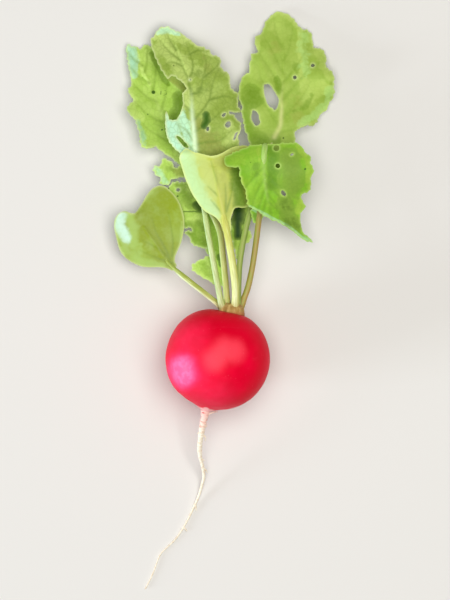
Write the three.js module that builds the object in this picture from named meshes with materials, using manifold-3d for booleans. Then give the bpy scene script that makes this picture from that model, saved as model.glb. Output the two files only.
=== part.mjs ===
import * as THREE from "three";
import { mergeVertices } from "three/addons/utils/BufferGeometryUtils.js";
import Module from "manifold-3d";

const wasm = await Module();
wasm.setup();

// Driving sizes in millimetres. The radish lies on z = 0 with its leaves towards +Y.
const bulbWidth = 34.2;
const bulbLength = 33.2;
const bulbTilt = THREE.MathUtils.degToRad(-13);
const bulbSquareness = 0.012;
const bulbCrownNarrowing = 0.02;
const restSpotDepth = 0.45;
const crownRadius = 4.4;
const crownHeight = 3.6;
const bladeThickness = 0.66;
const bladeCell = 3.6;
const bladeOverrun = 4;
const cupReach = 12;
const ruffleReach = 1.4;
const ruffleShift = 0.37;
const ribThickRadius = 0.9;
const ribThinRadius = 0.46;
const ribSunkShare = 0.45;
const fitGap = 0.3;
const stalkEndRadius = 0.72;
const rootCollarRadius = 2.1;
const rootTipRadius = 0.3;
const weldDistance = 1e-4;

// Places in plan are read on a picture plane 450 wide and 600 high, where the bulb is 103.6 across.
const bulbWidthOnPlane = 103.6;
const bulbOnPlane = { x: 217.6, y: 359.5 };
const unit = bulbWidth / bulbWidthOnPlane;
const bulbCentreHeight = bulbWidth / 2 - restSpotDepth;

function at(planeX, planeY, z = 0) {
  return new THREE.Vector3((planeX - bulbOnPlane.x) * unit, (bulbOnPlane.y - planeY) * unit, z);
}

// Solids

function solidOf(geometry) {
  geometry.deleteAttribute("normal");
  geometry.deleteAttribute("uv");
  const merged = mergeVertices(geometry, weldDistance);
  return new wasm.Manifold(
    new wasm.Mesh({
      numProp: 3,
      vertProperties: new Float32Array(merged.attributes.position.array),
      triVerts: new Uint32Array(merged.index.array),
    }),
  );
}

function largestBody(solid) {
  const bodies = solid.decompose();
  bodies.sort((one, other) => other.volume() - one.volume());
  return bodies[0];
}

function meshOf(name, solid, material) {
  const cut = largestBody(solid).getMesh();
  const geometry = new THREE.BufferGeometry();
  geometry.setAttribute("position", new THREE.BufferAttribute(cut.vertProperties, 3));
  geometry.setIndex(new THREE.BufferAttribute(cut.triVerts, 1));
  geometry.computeVertexNormals();
  const mesh = new THREE.Mesh(geometry, material);
  mesh.name = name;
  return mesh;
}

// A round stem along points of [plane x, plane y, height, radius], closed at both ends.
function stem(points, sides = 8, stepLength = 4.5, grow = 0) {
  const path = new THREE.CatmullRomCurve3(points.map(([x, y, z]) => at(x, y, z)), false, "centripetal");
  const steps = Math.max(2, Math.round(path.getLength() / stepLength));
  const tube = new THREE.CylinderGeometry(1, 1, 1, sides, steps);
  const frames = path.computeFrenetFrames(steps, false);
  const place = tube.attributes.position;
  for (let i = 0; i < place.count; i += 1) {
    const row = Math.round((0.5 - place.getY(i)) * steps);
    const along = path.getUtoTmapping(row / steps) * (points.length - 1);
    const before = Math.min(Math.floor(along), points.length - 2);
    const radius = THREE.MathUtils.lerp(points[before][3], points[before + 1][3], along - before) + grow;
    const spot = path.getPointAt(row / steps);
    spot.addScaledVector(frames.normals[row], place.getX(i) * radius);
    spot.addScaledVector(frames.binormals[row], place.getZ(i) * radius);
    place.setXYZ(i, spot.x, spot.y, spot.z);
  }
  return solidOf(tube);
}

// An upright prism over an outline on the picture plane, with its bites and worm holes.
function outlinePrism(outline, holes = []) {
  const shape = new THREE.Shape(wound(outline, false));
  shape.holes = holes.map((hole) => new THREE.Path(wound(hole, true)));
  const bottom = -10;
  const top = 50;
  const prism = new THREE.ExtrudeGeometry(shape, { depth: top - bottom, bevelEnabled: false });
  prism.translate(0, 0, bottom);
  return solidOf(prism);
}

function wound(ring, clockwise) {
  const points = ring.map(([x, y]) => at(x, y));
  return THREE.ShapeUtils.isClockWise(points) === clockwise ? points : points.reverse();
}

function roundHole(x, y, radius, sides = 7) {
  const ring = [];
  for (let i = 0; i < sides; i += 1) {
    const turn = (i / sides) * 2 * Math.PI;
    ring.push([x + radius * Math.cos(turn), y + radius * Math.sin(turn)]);
  }
  return ring;
}

// The curved sheet of a blade as a height over its own axis, which runs from heel to tip.
// Heights are spaced evenly along the axis. Side is positive to the left, looking to the tip.
function bladeSurface(blade) {
  const heel = at(...blade.heel);
  const tip = at(...blade.tip);
  const length = heel.distanceTo(tip);
  const axis = tip.clone().sub(heel).normalize();
  const heights = new THREE.CatmullRomCurve3(blade.heights.map((z, i) => new THREE.Vector3(i, z, 0)));
  const { cupLeft, cupRight, slope = 0, ruffle = 0, waves = 2, phase = 0 } = blade;

  function height(along, side) {
    const share = THREE.MathUtils.clamp(along / length, 0, 1);
    const out = side / cupReach;
    const cup = (side > 0 ? cupLeft : cupRight) * out * out;
    const spread = THREE.MathUtils.clamp(Math.abs(out), 0, ruffleReach) ** 2;
    const turns = waves * share + phase + (side > 0 ? 0 : ruffleShift);
    const wave = ruffle * spread * Math.sin(2 * Math.PI * turns);
    return restingHeight(heights.getPoint(share).y + cup + slope * out + wave);
  }

  return {
    length,
    place(along, side) {
      const x = heel.x + axis.x * along - axis.y * side;
      const y = heel.y + axis.y * along + axis.x * side;
      return new THREE.Vector3(x, y, height(along, side));
    },
    heightAt(planeX, planeY) {
      const spot = at(planeX, planeY).sub(heel);
      return height(spot.x * axis.x + spot.y * axis.y, spot.y * axis.x - spot.x * axis.y);
    },
  };
}

// Blades sag to the table and settle on it, never through it.
function restingHeight(z) {
  const lowest = 0.42;
  const softness = 1.2;
  const settling = 0.1;
  const above = z - lowest;
  return lowest + (above + Math.sqrt(above * above + softness * softness)) / 2 - settling;
}

// A closed sheet on a grid, split into triangles alike on both faces.
function bladeSheet(surface, left, right) {
  const reach = surface.length + 2 * bladeOverrun;
  const rows = Math.ceil(reach / bladeCell);
  const columns = Math.ceil((left + right) / bladeCell);
  const positions = [];
  const slopeStep = 0.05;
  for (const face of [1, -1]) {
    for (let i = 0; i <= rows; i += 1) {
      for (let j = 0; j <= columns; j += 1) {
        const along = -bladeOverrun + (i / rows) * reach;
        const side = -right + (j / columns) * (left + right);
        const spot = surface.place(along, side);
        const ahead = surface.place(along + slopeStep, side).sub(spot);
        const across = surface.place(along, side + slopeStep).sub(spot);
        const out = ahead.cross(across).normalize();
        spot.addScaledVector(out, (face * bladeThickness) / 2);
        positions.push(spot.x, spot.y, spot.z);
      }
    }
  }
  const row = columns + 1;
  const under = (rows + 1) * row;
  const index = [];
  for (let i = 0; i < rows; i += 1) {
    for (let j = 0; j < columns; j += 1) {
      const a = i * row + j;
      const b = a + row;
      index.push(a, b, b + 1, a, b + 1, a + 1);
      index.push(under + a, under + b + 1, under + b, under + a, under + a + 1, under + b + 1);
    }
  }
  const edge = [];
  for (let j = 0; j < columns; j += 1) edge.push([j, j + 1]);
  for (let i = 0; i < rows; i += 1) edge.push([i * row + columns, (i + 1) * row + columns]);
  for (let j = columns; j > 0; j -= 1) edge.push([rows * row + j, rows * row + j - 1]);
  for (let i = rows; i > 0; i -= 1) edge.push([i * row, (i - 1) * row]);
  for (const [from, to] of edge) {
    index.push(from, to, under + to, from, under + to, under + from);
  }
  const geometry = new THREE.BufferGeometry();
  geometry.setAttribute("position", new THREE.Float32BufferAttribute(positions, 3));
  geometry.setIndex(index);
  return geometry;
}

function bladeSolid(blade) {
  const surface = bladeSurface(blade);
  const sheet = solidOf(bladeSheet(surface, blade.left, blade.right));
  return sheet.intersect(outlinePrism(blade.outline, blade.holes));
}

// A rib that swells out of the underside of a blade, along points of [plane x, plane y].
function ribPoints(blade, path) {
  const surface = bladeSurface(blade);
  return path.map(([x, y], i) => {
    const radius = THREE.MathUtils.lerp(ribThickRadius, ribThinRadius, i / (path.length - 1));
    return [x, y, surface.heightAt(x, y) - ribSunkShare * radius, radius];
  });
}

// Leaves, from the lowest to the highest

const lowLeftLeaf = {
  stalk: [
    [228.2, 312.6, 15.9, stalkEndRadius],
    [228, 308, 15.9, stalkEndRadius],
    [227.2, 302, 15.8, 1.0],
    [226, 288, 15.2, 1.1],
    [222.8, 255, 13, 1.1],
    [219.5, 231, 11, 1.05],
    [211, 212, 9.4, 1.0],
    [199, 190, 8, 0.95],
    [187, 169, 7.2, 0.95],
  ],
  rib: [[181, 158], [174, 141], [165, 120], [155, 98], [147, 78], [141, 62]],
  blade: {
    heel: [186, 166],
    tip: [136, 46],
    heights: [7.4, 6.2, 5.6, 5.4, 4.6, 3.2, 1],
    left: 16,
    right: 20,
    cupLeft: 2.6,
    cupRight: 1.5,
    ruffle: 1.7,
    waves: 2.2,
    phase: 0.1,
    outline: [
      [186, 171], [178, 163], [171.5, 158.2], [163.8, 152.3], [157, 148], [155.3, 146.4], [150, 148.2],
      [145, 147.5], [141, 145.5], [139.8, 140], [139, 133], [137, 125.5], [135.2, 123], [136, 120.5],
      [131, 115.5], [127.8, 111.5], [126.9, 107.5], [129.5, 103.5], [133, 100], [130, 95.5], [128, 91],
      [127.7, 88], [130.2, 86], [131, 83.5], [130.3, 77], [129.2, 70], [127.5, 62], [126.6, 54],
      [125.8, 47], [126.5, 43.5], [129.5, 43], [130.5, 45.5], [135, 45], [138, 47.5], [140.5, 47.5],
      [143.5, 44.5], [147, 43.5], [149.8, 46], [158, 50], [165, 56], [168, 62], [176, 67], [180, 75],
      [188, 80], [190, 88], [194, 97], [192, 108], [195, 120], [191, 132], [193, 145], [191, 156],
      [192, 166],
    ],
    holes: [],
  },
  leaflets: {
    heel: [226, 292],
    tip: [168, 160],
    heights: [14.2, 12.8, 11.2, 9.8, 8.2, 6.8, 5.6],
    left: 12,
    right: 5,
    cupLeft: -1.6,
    cupRight: -0.6,
    ruffle: 1.1,
    waves: 3.6,
    phase: 0.3,
    outline: [
      [224.8, 285], [214.5, 284], [208, 280.5], [201, 276.5], [195.4, 272], [192, 269.4], [190.8, 266],
      [192.5, 263.8], [196, 262.8], [198.5, 259.8], [203, 258.8], [205, 257], [208, 255.6], [213, 257],
      [214, 253.5], [208.5, 253.5], [205.2, 250.5], [207.5, 248], [202, 248], [197, 246.8], [193, 244.5],
      [190.8, 241.5], [189.5, 238], [186.5, 234], [185, 231.8], [188, 230.8], [192, 230.5],
      [191.3, 227.8], [187.5, 227], [184, 228], [181.5, 221], [180, 211], [174, 204], [168, 196],
      [165.2, 189.4],
      [169.6, 186.4], [172, 183], [175, 181], [180, 182], [186.4, 180.8], [186.6, 178],
      [180, 177.4], [174.5, 177.9], [171.2, 180.3], [168.6, 184.2], [164.5, 184.6], [160.5, 183.3],
      [160.2, 177.5], [156.5, 175.2], [153.3, 170.5], [153, 167], [155.5, 165.2], [159.5, 165.5],
      [160.8, 162],
      [162.5, 159], [165.2, 158], [168, 160.5], [172, 161.5], [173.8, 166.2], [177, 167.2], [182, 164],
      [188, 168], [201, 189], [213, 210], [221.5, 231], [224.5, 255],
    ],
    holes: [roundHole(178, 189.8, 2)],
  },
};

const upperLeftLeaf = {
  stalk: [
    [223, 312.6, 17.8, stalkEndRadius],
    [222.6, 308, 17.8, stalkEndRadius],
    [221, 302, 17.8, 0.95],
    [217.5, 284, 17.4, 1.05],
    [212.5, 257, 16.6, 1.0],
    [207.5, 230, 15.4, 0.95],
    [204, 207, 14, 0.95],
    [199, 178, 12.8, 0.95],
    [196.4, 160, 12.3, 0.95],
  ],
  rib: [[195.4, 150], [193.6, 130], [191.9, 110], [190.9, 90], [187.5, 74], [182.5, 59], [176, 45]],
  blade: {
    heel: [197, 162],
    tip: [176, 28],
    heights: [12.2, 12.2, 12.9, 13.2, 12.6, 11, 8.4, 5.6],
    left: 13,
    right: 21,
    cupLeft: -0.6,
    cupRight: -2.3,
    ruffle: 1.2,
    waves: 2.4,
    phase: 0.55,
    outline: [
      [193, 166], [190, 160], [181, 154], [176, 150], [172, 145.5], [168.5, 140], [166.7, 136],
      [165.6, 130], [165.3, 122], [165.6, 115], [166.3, 111.5], [168, 115], [169.5, 118.8], [172.5, 119.8],
      [175.5, 119.5], [178.5, 115], [181, 110.5], [182.6, 106], [182.6, 100], [182.2, 95], [184, 91.5],
      [186.5, 88.5], [184, 84.5], [180.5, 81], [176.8, 78.6], [174.5, 76.3], [171, 76.5], [168.4, 79],
      [165, 75.5], [162, 71.5], [159.5, 66], [156.5, 60], [153.5, 53], [151.3, 46], [150.7, 42.5],
      [150, 39.5], [150.8, 37.5], [153.2, 37], [154.8, 34.5], [155.2, 31.5], [157.5, 29.5], [160.5, 27],
      [164, 25.8], [168, 26.1], [171, 28], [175, 30], [180, 32.3], [184, 35], [188, 37.8], [192, 40.8],
      [196, 44], [199.5, 45.8], [203, 46.3], [206, 48.5], [209.5, 50.5], [212.3, 54.8], [216, 54.9],
      [219, 56.3], [220.7, 59.5], [220, 63], [220.4, 66.5], [223, 69.8], [226.5, 72], [229, 75.5],
      [230, 80], [230.4, 85], [231.3, 88.5], [234, 90.8], [237, 92.2], [238, 95.5], [238.2, 99.5],
      [237.6, 104], [239.5, 107.5], [240.4, 110], [239.4, 111.6], [233, 112], [229, 111.3], [229.3, 113.8],
      [234.6, 114.6], [235.7, 118.5], [238.2, 121.6], [240.7, 122.2], [240.9, 127.5], [240.5, 131.5],
      [238.4, 135.5], [238.6, 140], [239, 146], [236, 151], [226, 156], [212, 160], [203, 164],
    ],
    holes: [
      [[176.2, 136], [178.5, 136], [184, 141], [188.6, 147.3], [186, 147.6], [180.5, 142.5]],
      [[221.5, 115.5], [223.5, 113.2], [226, 113], [225, 115.5], [223, 116.8]],
      [[225, 124], [227, 121.8], [230, 121.5], [230.3, 126], [228.5, 127.3], [225.5, 126.9]],
      [[237.7, 132], [235.6, 133.2], [233.2, 139.3], [234.2, 140.4], [236.5, 135.5]],
      [[206.4, 130.6], [206.9, 127], [208.8, 126.6], [209, 129.5], [207.7, 131.2]],
      roundHole(190, 79.7, 1, 5),
    ],
  },
};

const upperRightLeaf = {
  stalk: [
    [237, 312.6, 16.2, stalkEndRadius],
    [237.4, 308, 16.2, stalkEndRadius],
    [238.2, 302, 15.9, 0.85],
    [238.6, 285, 15.2, 0.95],
    [239.6, 265, 14.2, 1.0],
    [243.4, 240, 12.8, 1.0],
    [250.4, 210, 11.2, 1.0],
    [259, 181, 9.8, 0.95],
    [267, 157, 9, 0.95],
  ],
  rib: [[274.5, 137], [280, 126], [281.4, 112], [281.6, 98], [283.2, 80], [284, 62], [283, 44]],
  blade: {
    heel: [266, 178],
    tip: [287, 12],
    heights: [9.2, 8.6, 8.2, 7.8, 7.2, 6.4, 4.8, 2.4, 0.4],
    left: 17,
    right: 21,
    cupLeft: -1.4,
    cupRight: -1.0,
    ruffle: 1.5,
    waves: 2.6,
    phase: 0.2,
    outline: [
      [262, 178], [256, 168], [252, 158], [250.5, 150], [249.2, 144.5], [248.2, 138], [247.6, 134.5],
      [245.3, 130], [244.2, 125.5], [243.3, 120], [242, 114], [240.8, 111], [242.3, 109], [241.2, 105],
      [239.6, 100.5], [238, 97], [238.3, 92], [239.5, 86.5], [241, 80], [242.8, 75.8], [246, 73.2],
      [249, 72.3], [249.4, 68.5], [249.6, 64], [251, 61], [251.8, 57.5], [251.3, 54], [254, 52.2],
      [257.2, 52.4], [257.8, 51], [256.2, 47.5], [255, 43.5], [254.8, 39.5], [256, 35.2], [260.5, 34],
      [262.3, 31], [263.6, 26], [265.4, 21.3], [268.5, 17.3], [271.5, 14.2], [275, 11.8], [277.8, 10.1],
      [280.5, 10.8], [284.5, 11.5], [289, 13.8], [293, 17.5], [297, 22], [299.8, 25.6], [303, 28.2],
      [306.5, 28.2], [309.8, 31.3], [312.3, 35.2], [312.8, 40], [313.2, 44.5], [315, 47], [319.5, 47.8],
      [323.5, 49.7], [325, 53], [326.5, 58], [326.3, 62], [325.8, 65], [329, 68.3], [332.5, 72],
      [334, 77], [334.2, 83], [334.3, 89], [335.4, 91.3], [334, 96], [331.5, 99.7], [328.8, 103],
      [327.8, 107.5], [325, 110.8], [320.5, 114.5], [318.3, 118.5], [317, 122], [313.5, 125.4],
      [308.5, 125.2], [304.5, 126], [299.5, 128.5], [295.8, 131.3], [295.2, 136], [295.6, 140],
      [294.8, 143.3], [291, 153], [286, 163], [279, 172], [270, 179],
    ],
    holes: [
      [
        [264.3, 84.3], [266, 83.6], [269, 83.8], [271.5, 86.2], [274, 90.5], [277, 95.5], [278.9, 99.5],
        [278.5, 103.5], [277, 107.5], [274.5, 109.8], [273, 108], [270, 106.5], [267.5, 103],
        [265.6, 98.5], [264.4, 92.5], [264, 88],
      ],
      [
        [253, 110], [255.8, 111], [258.5, 114.3], [259, 118.5], [260.3, 121.8], [258.8, 124.3],
        [256, 125.3], [253.3, 122.3], [251.3, 117.5], [251.8, 113.5],
      ],
      roundHole(313, 65, 1.9),
      roundHole(295, 77, 1.9),
    ],
  },
  leaflets: {
    heel: [238.5, 266],
    tip: [252, 204],
    heights: [13.6, 12.6, 11.6, 10.8, 10.4],
    left: 7,
    right: 4,
    cupLeft: -1,
    cupRight: -1,
    ruffle: 0.8,
    waves: 1.6,
    phase: 0.1,
    outline: [
      [236.5, 259], [234.5, 251], [231.8, 244], [230.8, 236], [230.2, 228], [231.5, 218], [234, 210],
      [240, 206], [247, 206], [254, 207], [252.5, 216], [249.5, 225], [249, 230], [251.3, 234],
      [251.3, 238], [249.5, 241.5], [247, 243.5], [244.3, 244.5], [242.5, 251], [241.5, 259],
    ],
    holes: [],
  },
};

const rightLeaf = {
  stalk: [
    [239.8, 312.6, 13.7, stalkEndRadius],
    [240.6, 308, 13.7, stalkEndRadius],
    [243, 301, 13.5, 1.0],
    [247.4, 289, 13.3, 1.05],
    [251.6, 271, 13, 1.0],
    [255.2, 248, 12.8, 1.0],
    [258.8, 220, 13.4, 1.0],
    [262, 190, 15.2, 1.0],
    [264, 162, 16.8, 1.0],
    [264.8, 151, 17.8, 1.0],
    [264.9, 146.4, 19.8, 1.0],
    [264.6, 149.5, 21.6, 1.0],
    [264, 157, 22.6, 0.95],
  ],
  rib: [[263.8, 164], [264.6, 178], [266, 190], [268.5, 202], [275, 213]],
  blade: {
    heel: [262, 143],
    tip: [284, 243],
    heights: [19.6, 22.4, 23, 22.4, 21, 19, 16.4, 13.4, 10.6],
    left: 20,
    right: 17,
    cupLeft: -2.2,
    cupRight: -0.1,
    slope: 0,
    ruffle: 0.9,
    waves: 2.2,
    phase: 0.4,
    outline: [
      [250.1, 145.8], [247, 147.6], [242, 149.8], [236, 152], [230, 154.5], [225.5, 157], [223.8, 160],
      [224.3, 164], [227, 166.5], [232, 167.8], [236.5, 168], [238.6, 167.4], [239.6, 170.5],
      [238.4, 174.2], [240, 176], [240.6, 180], [242, 184], [244.8, 189], [245.6, 195], [246.8, 201],
      [248.3, 206.5], [253, 208.5], [259, 212.3], [265.5, 217], [273.5, 220.3], [281.5, 224],
      [289, 228.5], [296.5, 234], [302.5, 238.8], [307, 241.4], [312.8, 242], [310.5, 238.6],
      [306, 235.3], [303, 231.5], [301.5, 226], [300.2, 220], [300.3, 214], [302.3, 211], [305, 208.6],
      [304.6, 205], [303, 201], [300.8, 197.3], [303, 193.8], [307.5, 191.8], [310.3, 189.5],
      [310.6, 184], [310.7, 177], [312.5, 173.5], [313.7, 171.5], [312.2, 168], [310.2, 163.8],
      [311, 160.5], [310, 156.5], [306, 154.3], [303.5, 151], [303, 148.5], [299.5, 145.5], [295, 143.2],
      [289, 143], [282, 143.5], [276, 144.2], [269, 144.6], [263, 144.8], [256, 145.6],
    ],
    holes: [
      [[281.2, 190.8], [283, 190.6], [285.8, 193.8], [285.6, 196.3], [283.8, 196.4], [281.3, 194]],
      roundHole(276.2, 148.6, 3.1),
      roundHole(277.5, 166.4, 2.3),
      [[289.6, 155.4], [292, 153.9], [293.4, 154.3], [292.6, 155.8], [290.3, 156.4]],
    ],
  },
  leaflets: {
    heel: [257, 226],
    tip: [261, 203],
    heights: [13.0, 13.3, 13.7, 14.2],
    left: 4,
    right: 3,
    cupLeft: -2,
    cupRight: -1,
    outline: [
      [257.5, 223], [253.5, 222.5], [251.5, 217], [250.8, 210.5], [256, 207], [262, 207],
      [263, 213], [262.5, 218],
    ],
    holes: [],
  },
};

const middleSeedLeaf = {
  stalk: [
    [234.2, 312.6, 18.5, stalkEndRadius],
    [234.6, 308, 18.5, stalkEndRadius],
    [235.2, 301, 18.9, 1.1],
    [235.2, 286, 19.4, 1.25],
    [232.6, 264, 19.6, 1.25],
    [228.8, 242, 19.4, 1.2],
    [225.6, 226, 19.2, 1.2],
  ],
  rib: [[223.2, 214], [219.8, 198], [216.8, 182], [214, 168]],
  blade: {
    heel: [227, 234],
    tip: [213, 146],
    heights: [18.6, 18.8, 19, 18.9, 18.5, 17.8, 16.6],
    left: 13,
    right: 16,
    cupLeft: -3.8,
    cupRight: -5.4,
    ruffle: 0.3,
    waves: 1,
    phase: 0.2,
    outline: [
      [223.4, 232], [221.5, 226.5], [219.4, 222.1], [214.8, 216.9], [207.3, 212.9], [202.6, 209],
      [197.5, 202], [193, 195.1], [189.5, 188], [186.2, 180.5], [183.8, 173.5], [181.8, 166.5],
      [179.6, 159.5], [180.3, 154.6], [183, 150.8], [186.3, 148.4], [190, 149.8], [194, 152.4],
      [199, 153.4], [205, 154.9], [211.3, 156.3], [217, 155.3], [222, 153.3], [227, 150.3],
      [232, 147.6], [238, 146.1], [245, 145.6], [250.5, 147.5], [254, 152], [254.5, 165], [252.6, 180],
      [249.5, 195], [247.2, 206.5], [243, 208], [238, 207.6], [234.8, 208.5], [232.5, 213],
      [230.8, 219], [230.2, 232],
    ],
    holes: [],
  },
};

const leftSeedLeaf = {
  stalk: [
    [224.6, 312, 14.8, stalkEndRadius],
    [221.8, 308, 14.8, stalkEndRadius],
    [216.6, 302.8, 14.7, 0.85],
    [206, 294.2, 14.2, 0.92],
    [190, 281.8, 12.8, 0.95],
    [177, 271, 11.4, 1.0],
    [168.5, 263, 10.6, 1.0],
  ],
  rib: [[163, 255], [157, 246], [150, 236], [144, 227]],
  blade: {
    heel: [174, 270],
    tip: [133, 210],
    heights: [10.8, 10.4, 10.4, 10.2, 9.6, 8.8],
    left: 17,
    right: 18,
    cupLeft: -4.4,
    cupRight: 1.5,
    slope: 0.4,
    ruffle: 0.5,
    waves: 1,
    phase: 0.4,
    outline: [
      [172.5, 270.5], [168, 268.6], [162, 267.4], [152, 267.2], [142.1, 266.5], [133, 262.7],
      [127.5, 259.3], [123, 255], [120, 250.5], [118, 245], [116.3, 237.4], [114.6, 230],
      [114, 224.5], [115.2, 218], [118.5, 213.5], [122, 211.4], [126, 211.2], [130.5, 212.8],
      [134.4, 213.2], [138.5, 208.5], [142, 203], [146, 196], [150.8, 189.8], [155.5, 186.6],
      [160.5, 185.2], [166, 187], [171, 191], [175.5, 196], [179, 201.5], [181.8, 208.5],
      [184, 217.5], [184.3, 225], [183.2, 234], [181, 242.5], [178, 250], [175.2, 256.5],
      [174.8, 261.5], [176.6, 265.2],
    ],
    holes: [],
  },
};

function leafSolid(leaf) {
  const stalkAndRib = leaf.stalk.concat(ribPoints(leaf.blade, leaf.rib));
  let solid = bladeSolid(leaf.blade).add(stem(stalkAndRib));
  if (leaf.leaflets) {
    solid = solid.add(bladeSolid(leaf.leaflets));
  }
  return solid;
}

// Crown: the short woody knob that carries the stalks

const crownOnPlane = { x: 231, y: 314.6 };
const crownSunk = 0.4;
const crownSides = 20;
const crownFoot = { width: 0.86, skirt: 0.7 };
const crownWaist = { width: 1.02, height: 0.5 };
const crownShoulder = { width: 0.94, height: 0.82 };
const crownTopWidth = 0.76;

function crownKnob(grow = 0) {
  const radius = crownRadius + grow;
  const profile = [
    [0, -grow],
    [radius * crownFoot.width, -grow],
    [radius, crownFoot.skirt],
    [radius * crownWaist.width, crownHeight * crownWaist.height],
    [radius * crownShoulder.width, crownHeight * crownShoulder.height],
    [radius * crownTopWidth, crownHeight],
    [0, crownHeight + grow],
  ];
  const knob = new THREE.LatheGeometry(profile.map(([x, y]) => new THREE.Vector2(x, y)), crownSides);
  knob.rotateZ(bulbTilt / 2);
  const seat = at(crownOnPlane.x, crownOnPlane.y, bulbCentreHeight - crownSunk);
  knob.translate(seat.x, seat.y, seat.z);
  return solidOf(knob);
}

// Bulb: a round red root, a little square at the shoulders and drawn in to the taproot

function bulbBody() {
  const rings = 19;
  const sectors = 32;
  const profile = [];
  for (let i = 0; i <= rings; i += 1) {
    const turn = (i / rings) * Math.PI;
    const square = bulbSquareness * (1 - Math.cos(4 * turn));
    const radius = (bulbWidth / 2) * (1 + square - bulbCrownNarrowing * Math.cos(turn));
    const across = i % rings === 0 ? 0 : radius * Math.sin(turn);
    profile.push(new THREE.Vector2(across, -(bulbLength / bulbWidth) * radius * Math.cos(turn)));
  }
  const body = new THREE.LatheGeometry(profile, sectors);
  body.rotateZ(bulbTilt);
  body.translate(0, 0, bulbCentreHeight);
  return solidOf(body);
}

function belowTable() {
  const width = 100;
  const depth = 10;
  const slab = new THREE.BoxGeometry(width, width, depth);
  slab.translate(0, 0, -depth / 2);
  return solidOf(slab);
}

// Taproot with its side roots

const taproot = [
  [208.4, 397, 16.6, 1.3],
  [207.4, 401.5, 16.6, 1.7],
  [206.4, 405.5, 16.6, rootCollarRadius],
  [205.2, 412, 16.4, 1.4],
  [203.8, 420, 15.8, 1.1],
  [202.6, 426, 15.1, 1.15],
  [201.3, 434, 13.9, 0.9],
  [200, 442, 12.3, 0.84],
  [199.6, 451, 10.3, 0.82],
  [200.4, 458, 8.6, 0.64],
  [202.2, 465, 6.8, 0.56],
  [203.8, 477, 4, 0.56],
  [201.4, 487.4, 2.2, 0.5],
  [198, 498.2, 1.1, 0.48],
  [193.9, 507.3, 0.6, 0.44],
  [188.9, 518.1, 0.46, 0.4],
  [183.9, 527.2, 0.44, 0.38],
  [175.7, 539.6, 0.42, 0.36],
  [166.5, 548.7, 0.4, 0.34],
  [160.7, 554.6, 0.38, 0.33],
  [157.4, 561.2, 0.37, 0.32],
  [154.9, 568.6, 0.36, 0.31],
  [151.6, 576.9, 0.34, rootTipRadius],
  [148.3, 583.6, 0.34, rootTipRadius],
  [144.6, 590.6, 0.34, rootTipRadius],
];

const rootlets = [
  [[204.4, 416, 16, 0.5], [208, 414.4, 16.2, 0.34], [212.5, 412.4, 15.4, 0.28], [217.5, 411.6, 13.8, 0.26]],
  [[203.4, 424, 15.2, 0.5], [207.2, 426.4, 15.4, 0.3]],
  [[201.4, 432, 14, 0.5], [197.2, 433.6, 13.8, 0.3]],
  [[201.2, 434, 13.8, 0.45], [205.2, 437, 13.6, 0.3], [205.4, 441, 12.6, 0.28]],
  [[201.2, 459, 8.2, 0.4], [204.4, 461, 8, 0.26]],
  [[203, 468.6, 6, 0.4], [205.4, 470, 5.6, 0.28], [207.6, 473.6, 4.6, 0.24]],
  [[195.4, 504, 0.7, 0.34], [196, 511.6, 0.5, 0.26]],
  [[183.6, 528, 0.44, 0.3], [187, 532.4, 0.42, 0.24]],
];

const taprootMesh = { sides: 7, stepLength: 2.9 };
const rootletMesh = { sides: 5, stepLength: 1.6 };

function taprootBody() {
  let body = stem(taproot, taprootMesh.sides, taprootMesh.stepLength);
  for (const rootlet of rootlets) {
    body = body.add(stem(rootlet, rootletMesh.sides, rootletMesh.stepLength));
  }
  return body;
}

// Finishes

function finish(color, roughness) {
  return new THREE.MeshStandardMaterial({ color, roughness, metalness: 0 });
}

const redSkin = finish(0xd3142f, 0.35);
const rootSkin = finish(0xf2e3d2, 0.7);
const crownSkin = finish(0xb39a5c, 0.75);
const trueLeaf = finish(0x9fc04f, 0.6);
const seedLeaf = finish(0xb6c95c, 0.5);

// Assembly

const leaves = {
  leaf_lower_left: { leaf: lowLeftLeaf, material: trueLeaf },
  leaf_upper_left: { leaf: upperLeftLeaf, material: trueLeaf },
  leaf_upper_right: { leaf: upperRightLeaf, material: trueLeaf },
  leaf_right_folded: { leaf: rightLeaf, material: trueLeaf },
  seed_leaf_middle: { leaf: middleSeedLeaf, material: seedLeaf },
  seed_leaf_left: { leaf: leftSeedLeaf, material: seedLeaf },
};

// The parts of the taproot and of the stalks that grow inside another piece, as counts of their points.
const buriedRootPoints = 4;
const buriedStalkPoints = 3;
const rootSocket = { sides: 10, stepLength: 1.6 };
const stalkSocket = { sides: 8, stepLength: 2 };

function socketOf(points, { sides, stepLength }) {
  return stem(points, sides, stepLength, fitGap);
}

let crown = crownKnob();
let bulb = bulbBody().subtract(belowTable());
bulb = bulb.subtract(crownKnob(fitGap));
bulb = bulb.subtract(socketOf(taproot.slice(0, buriedRootPoints), rootSocket));

const radish = new THREE.Group();
for (const [name, { leaf, material }] of Object.entries(leaves)) {
  crown = crown.subtract(socketOf(leaf.stalk.slice(0, buriedStalkPoints), stalkSocket));
  radish.add(meshOf(name, leafSolid(leaf), material));
}
radish.add(meshOf("crown", crown, crownSkin));
radish.add(meshOf("bulb", bulb, redSkin));
radish.add(meshOf("taproot", taprootBody(), rootSkin));

export default radish;
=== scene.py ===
import math
import random

import bmesh
import bpy
import numpy as np
from mathutils import Matrix, Vector, noise


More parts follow.
